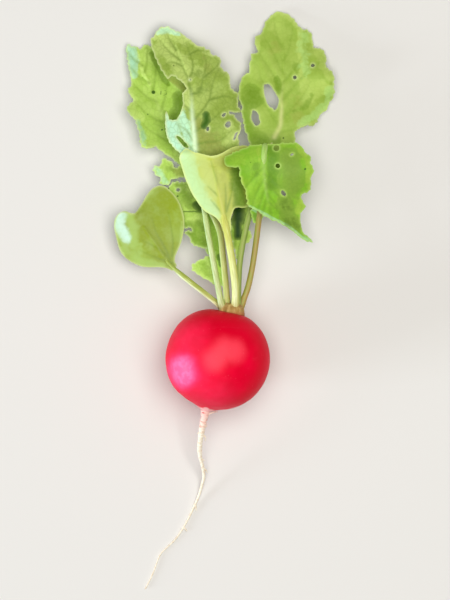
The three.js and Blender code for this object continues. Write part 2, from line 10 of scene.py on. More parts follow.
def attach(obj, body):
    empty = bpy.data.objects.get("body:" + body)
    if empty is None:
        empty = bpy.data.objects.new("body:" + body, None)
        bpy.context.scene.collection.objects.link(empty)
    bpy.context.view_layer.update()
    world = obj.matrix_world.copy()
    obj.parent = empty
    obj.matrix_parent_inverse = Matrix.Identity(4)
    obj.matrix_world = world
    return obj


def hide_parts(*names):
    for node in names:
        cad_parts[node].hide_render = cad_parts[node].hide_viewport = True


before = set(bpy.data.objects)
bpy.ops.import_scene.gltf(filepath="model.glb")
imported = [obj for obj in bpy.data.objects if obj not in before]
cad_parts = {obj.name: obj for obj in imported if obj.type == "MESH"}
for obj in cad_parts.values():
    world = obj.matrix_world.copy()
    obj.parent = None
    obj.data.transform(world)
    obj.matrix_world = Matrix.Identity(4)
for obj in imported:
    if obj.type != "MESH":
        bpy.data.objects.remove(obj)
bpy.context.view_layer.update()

print("frame loaded:", ", ".join(sorted(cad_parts)))

# Places are x and y on the camera's picture. Heights and radii are in millimetres.
mm = 0.001
picture = {"width": 450, "height": 600, "bulbX": 217.6, "bulbY": 359.5, "bulbAcross": 103.6}
bulb = {
    "width": 34.2, "length": 33.2, "tilt": -13, "centreHeight": 16.65, "around": 160, "rings": 110,
    "dimpleDepth": 0.9, "dimpleWidth": 6.0, "funnelDepth": 1.5, "funnelWidth": 2.7, "lumps": 0.28,
    "lumpRadius": 17,
}
unit = bulb["width"] * mm / picture["bulbAcross"]
stalkEndRadius = 0.72
rootCollarRadius = 2.1
rootTipRadius = 0.3
curveDetail = 24
weldDistance = 1e-7
stemMesh = {
    "stalkSides": 24, "stalkStep": 0.5, "rootSides": 20, "rootStep": 0.22, "rootletSides": 10,
    "rootletStep": 0.3,
}


def planX(x):
    return (x - picture["bulbX"]) * unit


def planY(y):
    return (picture["bulbY"] - y) * unit


def planPath(points):
    return np.array([(planX(p[0]), planY(p[1])) for p in points])


def stemPath(points):
    return np.array([(planX(x), planY(y), z * mm) for x, y, z, radius in points])


def roundHole(x, y, radius, sides=9):
    turns = [2 * math.pi * k / sides for k in range(sides)]
    return [[x + radius * math.cos(turn), y + radius * math.sin(turn)] for turn in turns]


# In the leaves' patches, light is mostly painted light on lit folds and lit sides, dark is mostly
# painted shade where leaves lie under others or turn away from the light, and shade is painted
# shade in deep pockets; olive is mostly the leaf's own yellowing and spot its damaged tissue.
lowLeftLeaf = {
    "node": "leaf_lower_left", "slot": "true_leaf", "seed": 3, "veins": (5, 50, 40, 26),
    "veinDepth": 0.6, "ribGlow": (0.25, 0.6), "relief": 0.8, "wobble": 0.44,
    "greens": {
        "leaf": (168, 203, 84), "deep": (148, 186, 64), "light": (194, 222, 116),
        "dark": (114, 148, 36), "mintSheenAndUnderside": (178, 228, 192), "olive": (150, 162, 66),
        "shade": (60, 92, 22), "rib": (196, 216, 130), "rim": (206, 226, 150),
        "under": (172, 192, 120), "spot": (62, 96, 22),
    },
    # stalk side tones: left and right are partly a painted highlight and painted shade on the lit
    # and the turned-away side, partly the stalk's own pale, green or brown
    "stalkColours": {
        "foot": (200, 190, 120), "top": (176, 194, 106), "left": (206, 218, 150),
        "right": (160, 142, 62),
    },
    "patches": {
        # mint patches: painted sheen, laid over the paler underside where margins roll over
        "mintSheenAndUnderside": [
            ([[129, 45], [131, 56], [132, 66]], 6.5, 1.0), ([[131, 66], [134, 74]], 4, 0.7),
            ([[137, 124], [140, 134], [144, 143]], 4.5, 0.42),
            ([[155, 168], [160, 176], [165, 183]], 5, 0.4),
        ],
        "dark": [
            ([[137, 124], [140, 134], [144, 143]], 4, 0.4),
            ([[152, 52], [156, 64], [162, 75], [168, 84]], 3.2, 0.7),
            ([[178, 96], [178, 106], [174, 116]], 5.5, 0.9), ([[165, 112], [166, 135]], 2.5, 0.6),
            ([[180, 186], [190, 204]], 6, 0.6), ([[198, 224], [203, 229]], 4, 0.8),
            ([[188, 231], [194, 238], [200, 244]], 9, 1.0), ([[206, 250], [210, 256]], 4, 0.5),
            ([[211, 214], [215, 234], [219, 256]], 4.5, 0.9), ([[203, 262], [210, 276]], 6, 0.4),
            ([[170, 168], [172, 176]], 6, 0.34),
        ],
        "light": [
            ([[137, 52], [139, 62], [143, 74], [150, 84]], 1.8, 0.8),
            ([[131, 92], [132, 107], [138, 118]], 6, 0.6),
            ([[151, 148], [160, 152], [172, 160]], 3, 0.6), ([[146, 50], [148, 62]], 5, 0.4),
            ([[189, 220], [200, 218]], 4.5, 0.5), ([[206, 258], [211, 272], [214, 282]], 3.4, 0.5),
            ([[184, 188], [196, 192]], 5, 0.6),
        ],
        "olive": [
            ([[170, 78], [180, 84], [185, 90]], 3.4, 0.9), ([[176, 168], [184, 176]], 6, 0.6),
        ],
        "shade": [
            ([[196, 204], [200, 209]], 4, 0.9), ([[184, 211.5], [198, 211.5]], 1, 0.6),
            ([[219, 256], [221, 266]], 3, 0.7),
        ],
        "spot": [
            ([[153.2, 91.8]], 2, 0.9), ([[161, 90.5], [160.6, 94]], 0.7, 0.6),
            ([[163, 95], [166.5, 93.6], [167, 90.5], [164, 89.6]], 0.6, 0.5),
            ([[147.4, 113.9]], 0.9, 0.7), ([[161.8, 129.4]], 1.2, 0.7), ([[142, 77]], 1.1, 0.5),
            ([[168, 188.3]], 1.3, 0.9), ([[177.6, 196]], 1.1, 0.8),
        ],
    },
    "stalk": [
        [228.2, 312.6, 15.9, stalkEndRadius], [228, 308, 15.9, stalkEndRadius],
        [227.2, 302, 15.8, 1.0], [226, 288, 15.2, 1.1], [222.8, 255, 13, 1.1],
        [219.5, 231, 11, 1.05], [211, 212, 9.4, 1.0], [199, 190, 8, 0.95], [187, 169, 7.2, 0.95],
    ],
    "rib": [[181, 158], [174, 141], [165, 120], [155, 98], [147, 78], [141, 62]],
    "blade": {
        "heel": [186, 166], "tip": [136, 46], "heights": [7.4, 6.2, 5.6, 5.4, 4.6, 3.2, 1],
        "left": 16, "right": 20, "cupLeft": 2.6, "cupRight": 1.5, "ruffle": 1.7, "waves": 2.2,
        "phase": 0.1,
        "curls": [
            ([[127, 45], [128, 58], [130, 72]], 6, 1.1),
            ([[152, 52], [158, 68], [166, 82]], 5, -0.9),
            ([[138, 52], [141, 66], [148, 82]], 4, 0.5),
            ([[138, 128], [140, 142], [150, 148]], 5, 0.9),
        ],
        "outline": [
            [186, 171], [178, 163], [171.5, 158.2], [163.8, 152.3], [157, 148], [155.3, 146.4],
            [150, 148.2], [145, 147.5], [141, 145.5], [139.8, 140], [139, 133], [137, 125.5],
            [135.2, 123], [136, 120.5], [131, 115.5], [127.8, 111.5], [126.9, 107.5],
            [129.5, 103.5], [133, 100], [130, 95.5], [128, 91], [127.7, 88], [130.2, 86],
            [131, 83.5], [130.3, 77], [129.2, 70], [127.5, 62], [126.6, 54], [125.8, 47],
            [126.5, 43.5], [129.5, 43], [130.5, 45.5], [135, 45], [138, 47.5], [140.5, 47.5],
            [143.5, 44.5], [147, 43.5], [149.8, 46], [158, 50], [165, 56], [168, 62], [176, 67],
            [180, 75], [188, 80], [190, 88], [194, 97], [192, 108], [195, 120], [191, 132],
            [193, 145], [191, 156], [192, 166],
        ],
        "holes": [],
    },
    "leaflets": {
        "heel": [226, 292], "tip": [168, 160], "heights": [14.2, 12.8, 11.2, 9.8, 8.2, 6.8, 5.6],
        "left": 12, "right": 5, "cupLeft": -1.6, "cupRight": -0.6, "ruffle": 1.1, "waves": 3.6,
        "phase": 0.3,
        "outline": [
            [224.8, 285], [214.5, 284], [208, 280.5], [201, 276.5], [195.4, 272], [192, 269.4],
            [190.8, 266], [192.5, 263.8], [196, 262.8], [198.5, 259.8], [203, 258.8], [205, 257],
            [208, 255.6], [213, 257], [214, 253.5], [208.5, 253.5], [205.2, 250.5], [207.5, 248],
            [202, 248], [197, 246.8], [193, 244.5], [190.8, 241.5], [189.5, 238], [186.5, 234],
            [185, 231.8], [188, 230.8], [192, 230.5], [191.3, 227.8], [187.5, 227], [184, 228],
            [181.5, 221], [180, 211], [174, 204], [168, 196], [165.2, 189.4], [169.6, 186.4],
            [172, 183], [175, 181], [180, 182], [186.4, 180.8], [186.6, 178], [180, 177.4],
            [174.5, 177.9], [171.2, 180.3], [168.6, 184.2], [164.5, 184.6], [160.5, 183.3],
            [160.2, 177.5], [156.5, 175.2], [153.3, 170.5], [153, 167], [155.5, 165.2],
            [159.5, 165.5], [160.8, 162], [162.5, 159], [165.2, 158], [168, 160.5], [172, 161.5],
            [173.8, 166.2], [177, 167.2], [182, 164], [188, 168], [201, 189], [213, 210],
            [221.5, 231], [224.5, 255],
        ],
        "holes": [roundHole(178, 189.8, 2)],
    },
}

upperLeftLeaf = {
    "node": "leaf_upper_left", "slot": "true_leaf", "seed": 11,
    "veinLines": [
        [[191, 92], [188, 79], [182, 66], [178, 56], [176, 50]],
        [[189, 80], [193, 66], [190, 54], [186, 42]],
        [[191, 94], [199, 92], [203, 78], [206, 64], [203, 50]],
        [[192, 122], [201, 112], [209, 100], [212, 86], [216, 74], [221, 66]],
        [[209, 100], [219, 97], [228, 96], [236, 100]], [[192, 112], [184, 104], [183, 96]],
        [[193, 134], [203, 126], [214, 118], [224, 108]],
        [[193, 146], [206, 142], [220, 140], [234, 128]], [[182, 66], [172, 62], [163, 66]],
        [[180, 60], [168, 50], [160, 40]], [[176, 50], [170, 40], [166, 32]],
        [[203, 78], [213, 70], [220, 62]], [[190, 54], [198, 50], [206, 52]],
        [[193, 140], [186, 130], [176, 124]], [[194, 150], [184, 142], [174, 136]],
    ],
    "veinDepth": 0.72, "ribGlow": (1.0, 0.36), "relief": 0.8, "wobble": 0.4,
    "greens": {
        "leaf": (149, 174, 72), "deep": (136, 164, 58), "light": (191, 213, 116),
        "dark": (100, 128, 34), "mintSheenAndUnderside": (196, 246, 212), "olive": (142, 152, 66),
        "shade": (62, 102, 22), "rib": (216, 240, 196), "rim": (214, 226, 158),
        "under": (176, 192, 124), "spot": (96, 112, 44),
    },
    "stalkColours": {
        "foot": (206, 212, 158), "top": (180, 206, 126), "left": (200, 226, 162),
        "right": (158, 174, 84),
    },
    "patches": {
        "mintSheenAndUnderside": [
            ([[158, 31], [168, 28.5], [178, 33]], 3.6, 0.6),
            ([[171, 120], [173, 134], [180, 148]], 8, 1.0),
            ([[182, 116], [186, 132], [190, 148]], 6, 0.75),
        ],
        "light": [
            ([[156, 36], [168, 36], [182, 40]], 5, 0.6),
            ([[183, 36], [200, 49], [213, 57]], 2.5, 0.45),
            ([[164, 46], [174, 56], [186, 72]], 11, 0.8), ([[196, 62], [202, 78]], 5, 0.5),
            ([[182, 82], [188, 92], [187, 106]], 3, 0.8), ([[229, 128], [229, 140]], 6, 0.5),
        ],
        "shade": [([[206, 114.5], [206.5, 121], [204, 126]], 3.6, 1.0)],
        "dark": [([[198, 74], [205, 86], [196, 94]], 7, 0.35)],
        "olive": [
            ([[198, 121], [200, 131], [208, 135]], 4.5, 0.7), ([[204, 138], [214, 153]], 13, 0.8),
            ([[203, 58], [208, 68]], 6, 0.35),
        ],
        "spot": [([[173.6, 65.6]], 1.2, 0.6), ([[184, 127.5]], 0.9, 0.5)],
    },
    "stalk": [
        [223, 312.6, 17.8, stalkEndRadius], [222.6, 308, 17.8, stalkEndRadius],
        [221, 302, 17.8, 0.95], [217.5, 284, 17.4, 1.05], [212.5, 257, 16.6, 1.0],
        [207.5, 230, 15.4, 0.95], [204, 207, 14, 0.95], [199, 178, 12.8, 0.95],
        [196.4, 160, 12.3, 0.95],
    ],
    "rib": [
        [195.4, 150], [193.6, 130], [191.9, 110], [190.9, 90], [187.5, 74], [182.5, 59], [176, 45],
    ],
    "blade": {
        "heel": [197, 162], "tip": [176, 28],
        "heights": [12.2, 12.2, 12.9, 13.2, 12.6, 11, 8.4, 5.6], "left": 13, "right": 21,
        "cupLeft": -0.6, "cupRight": -2.3, "ruffle": 1.2, "waves": 2.4, "phase": 0.55,
        "curls": [
            ([[165, 116], [166, 132], [174, 146]], 6, 0.9),
            ([[152, 38], [166, 26], [184, 34]], 5, 0.5),
            ([[181, 80], [184, 92], [183, 106]], 4, 0.5), ([[224, 118], [236, 128]], 8, 0.4),
        ],
        "outline": [
            [193, 166], [190, 160], [181, 154], [176, 150], [172, 145.5], [168.5, 140],
            [166.7, 136], [165.6, 130], [165.3, 122], [165.6, 115], [166.3, 111.5], [168, 115],
            [169.5, 118.8], [172.5, 119.8], [175.5, 119.5], [178.5, 115], [181, 110.5],
            [182.6, 106], [182.6, 100], [182.2, 95], [184, 91.5], [186.5, 88.5], [184, 84.5],
            [180.5, 81], [176.8, 78.6], [174.5, 76.3], [171, 76.5], [168.4, 79], [165, 75.5],
            [162, 71.5], [159.5, 66], [156.5, 60], [153.5, 53], [151.3, 46], [150.7, 42.5],
            [150, 39.5], [150.8, 37.5], [153.2, 37], [154.8, 34.5], [155.2, 31.5], [157.5, 29.5],
            [160.5, 27], [164, 25.8], [168, 26.1], [171, 28], [175, 30], [180, 32.3], [184, 35],
            [188, 37.8], [192, 40.8], [196, 44], [199.5, 45.8], [203, 46.3], [206, 48.5],
            [209.5, 50.5], [212.3, 54.8], [216, 54.9], [219, 56.3], [220.7, 59.5], [220, 63],
            [220.4, 66.5], [223, 69.8], [226.5, 72], [229, 75.5], [230, 80], [230.4, 85],
            [231.3, 88.5], [234, 90.8], [237, 92.2], [238, 95.5], [238.2, 99.5], [237.6, 104],
            [239.5, 107.5], [240.4, 110], [239.4, 111.6], [233, 112], [229, 111.3], [229.3, 113.8],
            [234.6, 114.6], [235.7, 118.5], [238.2, 121.6], [240.7, 122.2], [240.9, 127.5],
            [240.5, 131.5], [238.4, 135.5], [238.6, 140], [239, 146], [236, 151], [226, 156],
            [212, 160], [203, 164],
        ],
        "holes": [
            [[176.2, 136], [178.5, 136], [184, 141], [188.6, 147.3], [186, 147.6], [180.5, 142.5]],
            [[221.5, 115.5], [223.5, 113.2], [226, 113], [225, 115.5], [223, 116.8]],
            [[225, 124], [227, 121.8], [230, 121.5], [230.3, 126], [228.5, 127.3], [225.5, 126.9]],
            [[237.7, 132], [235.6, 133.2], [233.2, 139.3], [234.2, 140.4], [236.5, 135.5]],
            [[206.4, 130.6], [206.9, 127], [208.8, 126.6], [209, 129.5], [207.7, 131.2]],
            roundHole(190, 79.7, 1, 5),
        ],
    },
}

upperRightLeaf = {
    "node": "leaf_upper_right", "slot": "true_leaf", "seed": 19, "veins": (5, 44, 50, 22),
    "veinDepth": 0.4, "ribGlow": (0.8, 0.5), "relief": 0.8, "wobble": 0.4,
    "greens": {
        "leaf": (152, 182, 70), "deep": (140, 172, 54), "light": (180, 204, 98),
        "dark": (116, 152, 34), "mintSheenAndUnderside": (178, 218, 122), "olive": (158, 172, 72),
        "shade": (26, 58, 2), "rib": (208, 214, 136), "rim": (200, 218, 140),
        "under": (168, 188, 116), "spot": (60, 90, 20),
    },
    "stalkColours": {
        "foot": (168, 174, 94), "top": (132, 158, 66), "left": (154, 180, 88),
        "right": (114, 140, 52),
    },
    "patches": {
        "mintSheenAndUnderside": [
            ([[301, 34], [304, 52], [306, 72]], 7, 0.5),
            ([[330, 90], [327, 103], [318, 113], [303, 124]], 5.4, 0.62),
        ],
        "light": [
            ([[300, 30], [300, 50], [301, 78]], 4, 0.7),
            ([[268, 17], [278, 12], [288, 15], [297, 25]], 2.5, 0.7),
            ([[257, 37], [258, 46]], 3, 0.8), ([[305, 84], [312, 94], [322, 86]], 9, 0.7),
            ([[320, 53], [325, 64], [329, 76]], 6, 0.66),
            ([[300, 127], [315, 121], [326, 107]], 2.5, 0.9), ([[270, 20], [274, 32]], 8, 0.4),
        ],
        "dark": [
            ([[252, 92], [255, 101], [246, 104]], 9, 0.9),
            ([[245, 116], [250, 134], [262, 142]], 8, 0.8), ([[277, 79], [279, 90]], 4, 0.8),
            ([[276, 138]], 6, 0.8), ([[297, 66], [300, 74]], 6, 0.4),
            ([[312, 95], [305, 107], [293, 111]], 3, 0.45), ([[233, 226], [233, 244]], 4, 0.6),
        ],
        "olive": [([[272, 34], [275, 50]], 6, 0.4), ([[292, 100], [298, 118]], 8, 0.4)],
        "shade": [([[237.6, 209], [238, 219]], 7.4, 1.0), ([[237.6, 222], [238, 236]], 4, 1.0)],
        "spot": [([[283.4, 137.8]], 1, 0.8), ([[288.3, 144.2]], 1.3, 1.0)],
    },
    "stalk": [
        [237, 312.6, 16.2, stalkEndRadius], [237.4, 308, 16.2, stalkEndRadius],
        [238.2, 302, 15.9, 0.85], [238.6, 285, 15.2, 0.95], [239.6, 265, 14.2, 1.0],
        [243.4, 240, 12.8, 1.0], [250.4, 210, 11.2, 1.0], [259, 181, 9.8, 0.95],
        [267, 157, 9, 0.95],
    ],
    "rib": [[274.5, 137], [280, 126], [281.4, 112], [281.6, 98], [283.2, 80], [284, 62], [283, 44]],
    "blade": {
        "heel": [266, 178], "tip": [287, 12],
        "heights": [9.2, 8.6, 8.2, 7.8, 7.2, 6.4, 4.8, 2.4, 0.4], "left": 17, "right": 21,
        "cupLeft": -1.4, "cupRight": -1.0, "ruffle": 1.5, "waves": 2.6, "phase": 0.2,
        "curls": [
            ([[264, 86], [272, 108], [279, 100], [270, 85], [264, 86]], 4, 0.4),
            ([[300, 30], [304, 60]], 6, 0.5), ([[252, 54], [240, 84]], 5, 0.4),
            ([[318, 118], [330, 100]], 5, -0.5),
        ],
        "outline": [
            [262, 178], [256, 168], [252, 158], [250.5, 150], [249.2, 144.5], [248.2, 138],
            [247.6, 134.5], [245.3, 130], [244.2, 125.5], [243.3, 120], [242, 114], [240.8, 111],
            [242.3, 109], [241.2, 105], [239.6, 100.5], [238, 97], [238.3, 92], [239.5, 86.5],
            [241, 80], [242.8, 75.8], [246, 73.2], [249, 72.3], [249.4, 68.5], [249.6, 64],
            [251, 61], [251.8, 57.5], [251.3, 54], [254, 52.2], [257.2, 52.4], [257.8, 51],
            [256.2, 47.5], [255, 43.5], [254.8, 39.5], [256, 35.2], [260.5, 34], [262.3, 31],
            [263.6, 26], [265.4, 21.3], [268.5, 17.3], [271.5, 14.2], [275, 11.8], [277.8, 10.1],
            [280.5, 10.8], [284.5, 11.5], [289, 13.8], [293, 17.5], [297, 22], [299.8, 25.6],
            [303, 28.2], [306.5, 28.2], [309.8, 31.3], [312.3, 35.2], [312.8, 40], [313.2, 44.5],
            [315, 47], [319.5, 47.8], [323.5, 49.7], [325, 53], [326.5, 58], [326.3, 62],
            [325.8, 65], [329, 68.3], [332.5, 72], [334, 77], [334.2, 83], [334.3, 89],
            [335.4, 91.3], [334, 96], [331.5, 99.7], [328.8, 103], [327.8, 107.5], [325, 110.8],
            [320.5, 114.5], [318.3, 118.5], [317, 122], [313.5, 125.4], [308.5, 125.2],
            [304.5, 126], [299.5, 128.5], [295.8, 131.3], [295.2, 136], [295.6, 140],
            [294.8, 143.3], [291, 153], [286, 163], [279, 172], [270, 179],
        ],
        "holes": [
            [
                [264.3, 84.3], [266, 83.6], [269, 83.8], [271.5, 86.2], [274, 90.5], [277, 95.5],
                [278.9, 99.5], [278.5, 103.5], [277, 107.5], [274.5, 109.8], [273, 108],
                [270, 106.5], [267.5, 103], [265.6, 98.5], [264.4, 92.5], [264, 88],
            ],
            [
                [253, 110], [255.8, 111], [258.5, 114.3], [259, 118.5], [260.3, 121.8],
                [258.8, 124.3], [256, 125.3], [253.3, 122.3], [251.3, 117.5], [251.8, 113.5],
            ],
            roundHole(313, 65, 1.9),
            roundHole(295, 77, 1.9),
        ],
    },
    "leaflets": {
        "heel": [238.5, 266], "tip": [252, 204], "heights": [13.6, 12.6, 11.6, 10.8, 10.4],
        "left": 7, "right": 4, "cupLeft": -1, "cupRight": -1, "ruffle": 0.8, "waves": 1.6,
        "phase": 0.1,
        "outline": [
            [236.5, 259], [234.5, 251], [231.8, 244], [230.8, 236], [230.2, 228], [231.5, 218],
            [234, 210], [240, 206], [247, 206], [254, 207], [252.5, 216], [249.5, 225], [249, 230],
            [251.3, 234], [251.3, 238], [249.5, 241.5], [247, 243.5], [244.3, 244.5], [242.5, 251],
            [241.5, 259],
        ],
        "holes": [],
    },
}

rightLeaf = {
    "node": "leaf_right_folded", "slot": "true_leaf", "seed": 27, "veins": (5, 46, 46, 24),
    "veinDepth": 0.45, "ribGlow": (0.4, 0.7), "relief": 0.7, "wobble": 0.4,
    "greens": {
        "leaf": (130, 186, 44), "deep": (118, 176, 38), "light": (162, 196, 68),
        "dark": (98, 142, 36), "mintSheenAndUnderside": (166, 218, 150), "olive": (126, 158, 58),
        "shade": (84, 116, 28), "rib": (176, 208, 110), "rim": (186, 218, 112),
        "under": (160, 190, 110), "spot": (58, 92, 20),
    },
    "stalkColours": {
        "foot": (180, 154, 82), "top": (150, 128, 50), "left": (146, 134, 50),
        "right": (174, 132, 72),
    },
    "patches": {
        "dark": [
            ([[271, 150], [273, 165], [272, 184]], 6, 0.8), ([[256, 166], [255, 182]], 4, 0.4),
            ([[254, 217.5], [258, 219]], 4.5, 0.8),
        ],
        "olive": [
            ([[288, 160], [292, 174], [290, 186]], 14, 0.85), ([[278, 170], [278, 186]], 5, 0.7),
            ([[285, 204], [288, 216], [295, 227]], 9, 0.9),
        ],
        "shade": [([[285, 206], [288, 217], [295, 227]], 8, 0.4)],
        "light": [
            ([[297, 147], [306, 157], [308, 172], [308, 188]], 3, 0.55),
            ([[302, 202], [298, 212]], 3.5, 0.8), ([[241, 177], [246, 194], [249, 206]], 1.2, 0.9),
            ([[258, 150], [259, 160]], 2, 0.5),
        ],
        "mintSheenAndUnderside": [
            ([[250, 207.5], [262, 213], [275, 220], [290, 228], [302, 237.5], [312, 241.5]], 2.1,
                1.0),
            ([[238.5, 168], [238, 174]], 1, 0.6),
        ],
        "spot": [([[250.5, 163]], 0.9, 0.6), ([[304.7, 169.5]], 1, 1.0)],
    },
    "stalk": [
        [239.8, 312.6, 13.7, stalkEndRadius], [240.6, 308, 13.7, stalkEndRadius],
        [243, 301, 13.5, 1.0], [247.4, 289, 13.3, 1.05], [251.6, 271, 13, 1.0],
        [255.2, 248, 12.8, 1.0], [258.8, 220, 13.4, 1.0], [262, 190, 15.2, 1.0],
        [264, 162, 16.8, 1.0], [264.8, 151, 17.8, 1.0], [264.9, 146.4, 19.8, 1.0],
        [264.6, 149.5, 21.6, 1.0], [264, 157, 22.6, 0.95],
    ],
    "rib": [[263.8, 164], [264.6, 178], [266, 190], [268.5, 202], [275, 213]],
    "blade": {
        "heel": [262, 143], "tip": [284, 243],
        "heights": [19.6, 22.4, 23, 22.4, 21, 19, 16.4, 13.4, 10.6], "left": 20, "right": 17,
        "cupLeft": -2.2, "cupRight": -0.1, "slope": 0, "ruffle": 0.9, "waves": 2.2, "phase": 0.4,
        "curls": [
            ([[250, 208], [266, 217], [289, 228], [306, 241]], 4, 0.9),
            ([[239, 168], [243, 186], [247, 204]], 3, 0.5), ([[272, 150], [272, 190]], 6, -0.5),
        ],
        "outline": [
            [250.1, 145.8], [247, 147.6], [242, 149.8], [236, 152], [230, 154.5], [225.5, 157],
            [223.8, 160], [224.3, 164], [227, 166.5], [232, 167.8], [236.5, 168], [238.6, 167.4],
            [239.6, 170.5], [238.4, 174.2], [240, 176], [240.6, 180], [242, 184], [244.8, 189],
            [245.6, 195], [246.8, 201], [248.3, 206.5], [253, 208.5], [259, 212.3], [265.5, 217],
            [273.5, 220.3], [281.5, 224], [289, 228.5], [296.5, 234], [302.5, 238.8], [307, 241.4],
            [312.8, 242], [310.5, 238.6], [306, 235.3], [303, 231.5], [301.5, 226], [300.2, 220],
            [300.3, 214], [302.3, 211], [305, 208.6], [304.6, 205], [303, 201], [300.8, 197.3],
            [303, 193.8], [307.5, 191.8], [310.3, 189.5], [310.6, 184], [310.7, 177],
            [312.5, 173.5], [313.7, 171.5], [312.2, 168], [310.2, 163.8], [311, 160.5],
            [310, 156.5], [306, 154.3], [303.5, 151], [303, 148.5], [299.5, 145.5], [295, 143.2],
            [289, 143], [282, 143.5], [276, 144.2], [269, 144.6], [263, 144.8], [256, 145.6],
        ],
        "holes": [
            [
                [281.2, 190.8], [283, 190.6], [285.8, 193.8], [285.6, 196.3], [283.8, 196.4],
                [281.3, 194],
            ],
            roundHole(276.2, 148.6, 3.1),
            roundHole(277.5, 166.4, 2.3),
            [[289.6, 155.4], [292, 153.9], [293.4, 154.3], [292.6, 155.8], [290.3, 156.4]],
        ],
    },
    "leaflets": {
        "heel": [257, 226], "tip": [261, 203], "heights": [13.0, 13.3, 13.7, 14.2], "left": 4,
        "right": 3, "cupLeft": -2, "cupRight": -1,
        "outline": [
            [257.5, 223], [253.5, 222.5], [251.5, 217], [250.8, 210.5], [256, 207], [262, 207],
            [263, 213], [262.5, 218],
        ],
        "holes": [],
    },
}

middleSeedLeaf = {
    "node": "seed_leaf_middle", "slot": "seed_leaf", "seed": 35,
    "veinLines": [
        [[225, 224], [222, 210], [219, 196], [216.5, 180], [213, 168], [211, 161]],
        [[219.5, 197], [214, 192], [208, 186.5]], [[223, 214], [216, 206], [211, 200]],
        [[225, 218], [226, 200], [225, 184]], [[226, 212], [231, 196], [234, 178]],
    ],
    "veinDepth": 0.8, "ribSunk": 0.45, "ribGlow": (0.8, 0.6), "relief": 0.3, "wobble": 0.05,
    "greens": {
        "leaf": (184, 195, 78), "deep": (176, 186, 70), "light": (192, 206, 112),
        "dark": (106, 138, 38), "mintSheenAndUnderside": (190, 223, 156), "olive": (172, 180, 72),
        "shade": (104, 134, 42), "rib": (204, 206, 98), "rim": (218, 230, 140),
        "under": (190, 204, 124), "spot": (110, 120, 40),
    },
    "stalkColours": {
        "foot": (236, 242, 190), "top": (206, 208, 104), "left": (222, 236, 148),
        "right": (186, 188, 84),
    },
    "patches": {
        "mintSheenAndUnderside": [([[184, 156], [189, 170], [195, 186], [202, 202], [213, 215]], 10, 1.0)],
        "light": [
            ([[198, 156], [206, 176], [212, 196]], 8, 0.9),
            ([[206, 156], [214, 157.5], [224, 154], [238, 147.5]], 1.4, 0.9),
        ],
        "olive": [
            # the second olive patch, under the edge of the folded leaf, is a painted shadow
            ([[222, 176], [226, 195], [227, 210]], 5, 0.6), ([[218, 162], [224, 166]], 6, 0.7),
        ],
        "dark": [([[236, 172], [238, 190], [240, 204]], 7.5, 1.0)],
    },
    "stalk": [
        [234.2, 312.6, 18.5, stalkEndRadius], [234.6, 308, 18.5, stalkEndRadius],
        [235.2, 301, 18.9, 1.1], [235.2, 286, 19.4, 1.25], [232.6, 264, 19.6, 1.25],
        [228.8, 242, 19.4, 1.2], [225.6, 226, 19.2, 1.2],
    ],
    "rib": [[223.2, 214], [219.8, 198], [216.8, 182], [214, 168]],
    "blade": {
        "heel": [227, 234], "tip": [213, 146], "heights": [18.6, 18.8, 19, 18.9, 18.5, 17.8, 16.6],
        "left": 13, "right": 16, "cupLeft": -3.8, "cupRight": -5.4, "ruffle": 0.3, "waves": 1,
        "phase": 0.2, "curls": [([[180, 154], [196, 153], [211, 156.5], [228, 150]], 4, 0.8)],
        "outline": [
            [223.4, 232], [221.5, 226.5], [219.4, 222.1], [214.8, 216.9], [207.3, 212.9],
            [202.6, 209], [197.5, 202], [193, 195.1], [189.5, 188], [186.2, 180.5], [183.8, 173.5],
            [181.8, 166.5], [179.6, 159.5], [180.3, 154.6], [183, 150.8], [186.3, 148.4],
            [190, 149.8], [194, 152.4], [199, 153.4], [205, 154.9], [211.3, 156.3], [217, 155.3],
            [222, 153.3], [227, 150.3], [232, 147.6], [238, 146.1], [245, 145.6], [250.5, 147.5],
            [254, 152], [254.5, 165], [252.6, 180], [249.5, 195], [247.2, 206.5], [243, 208],
            [238, 207.6], [234.8, 208.5], [232.5, 213], [230.8, 219], [230.2, 232],
        ],
        "holes": [],
    },
}

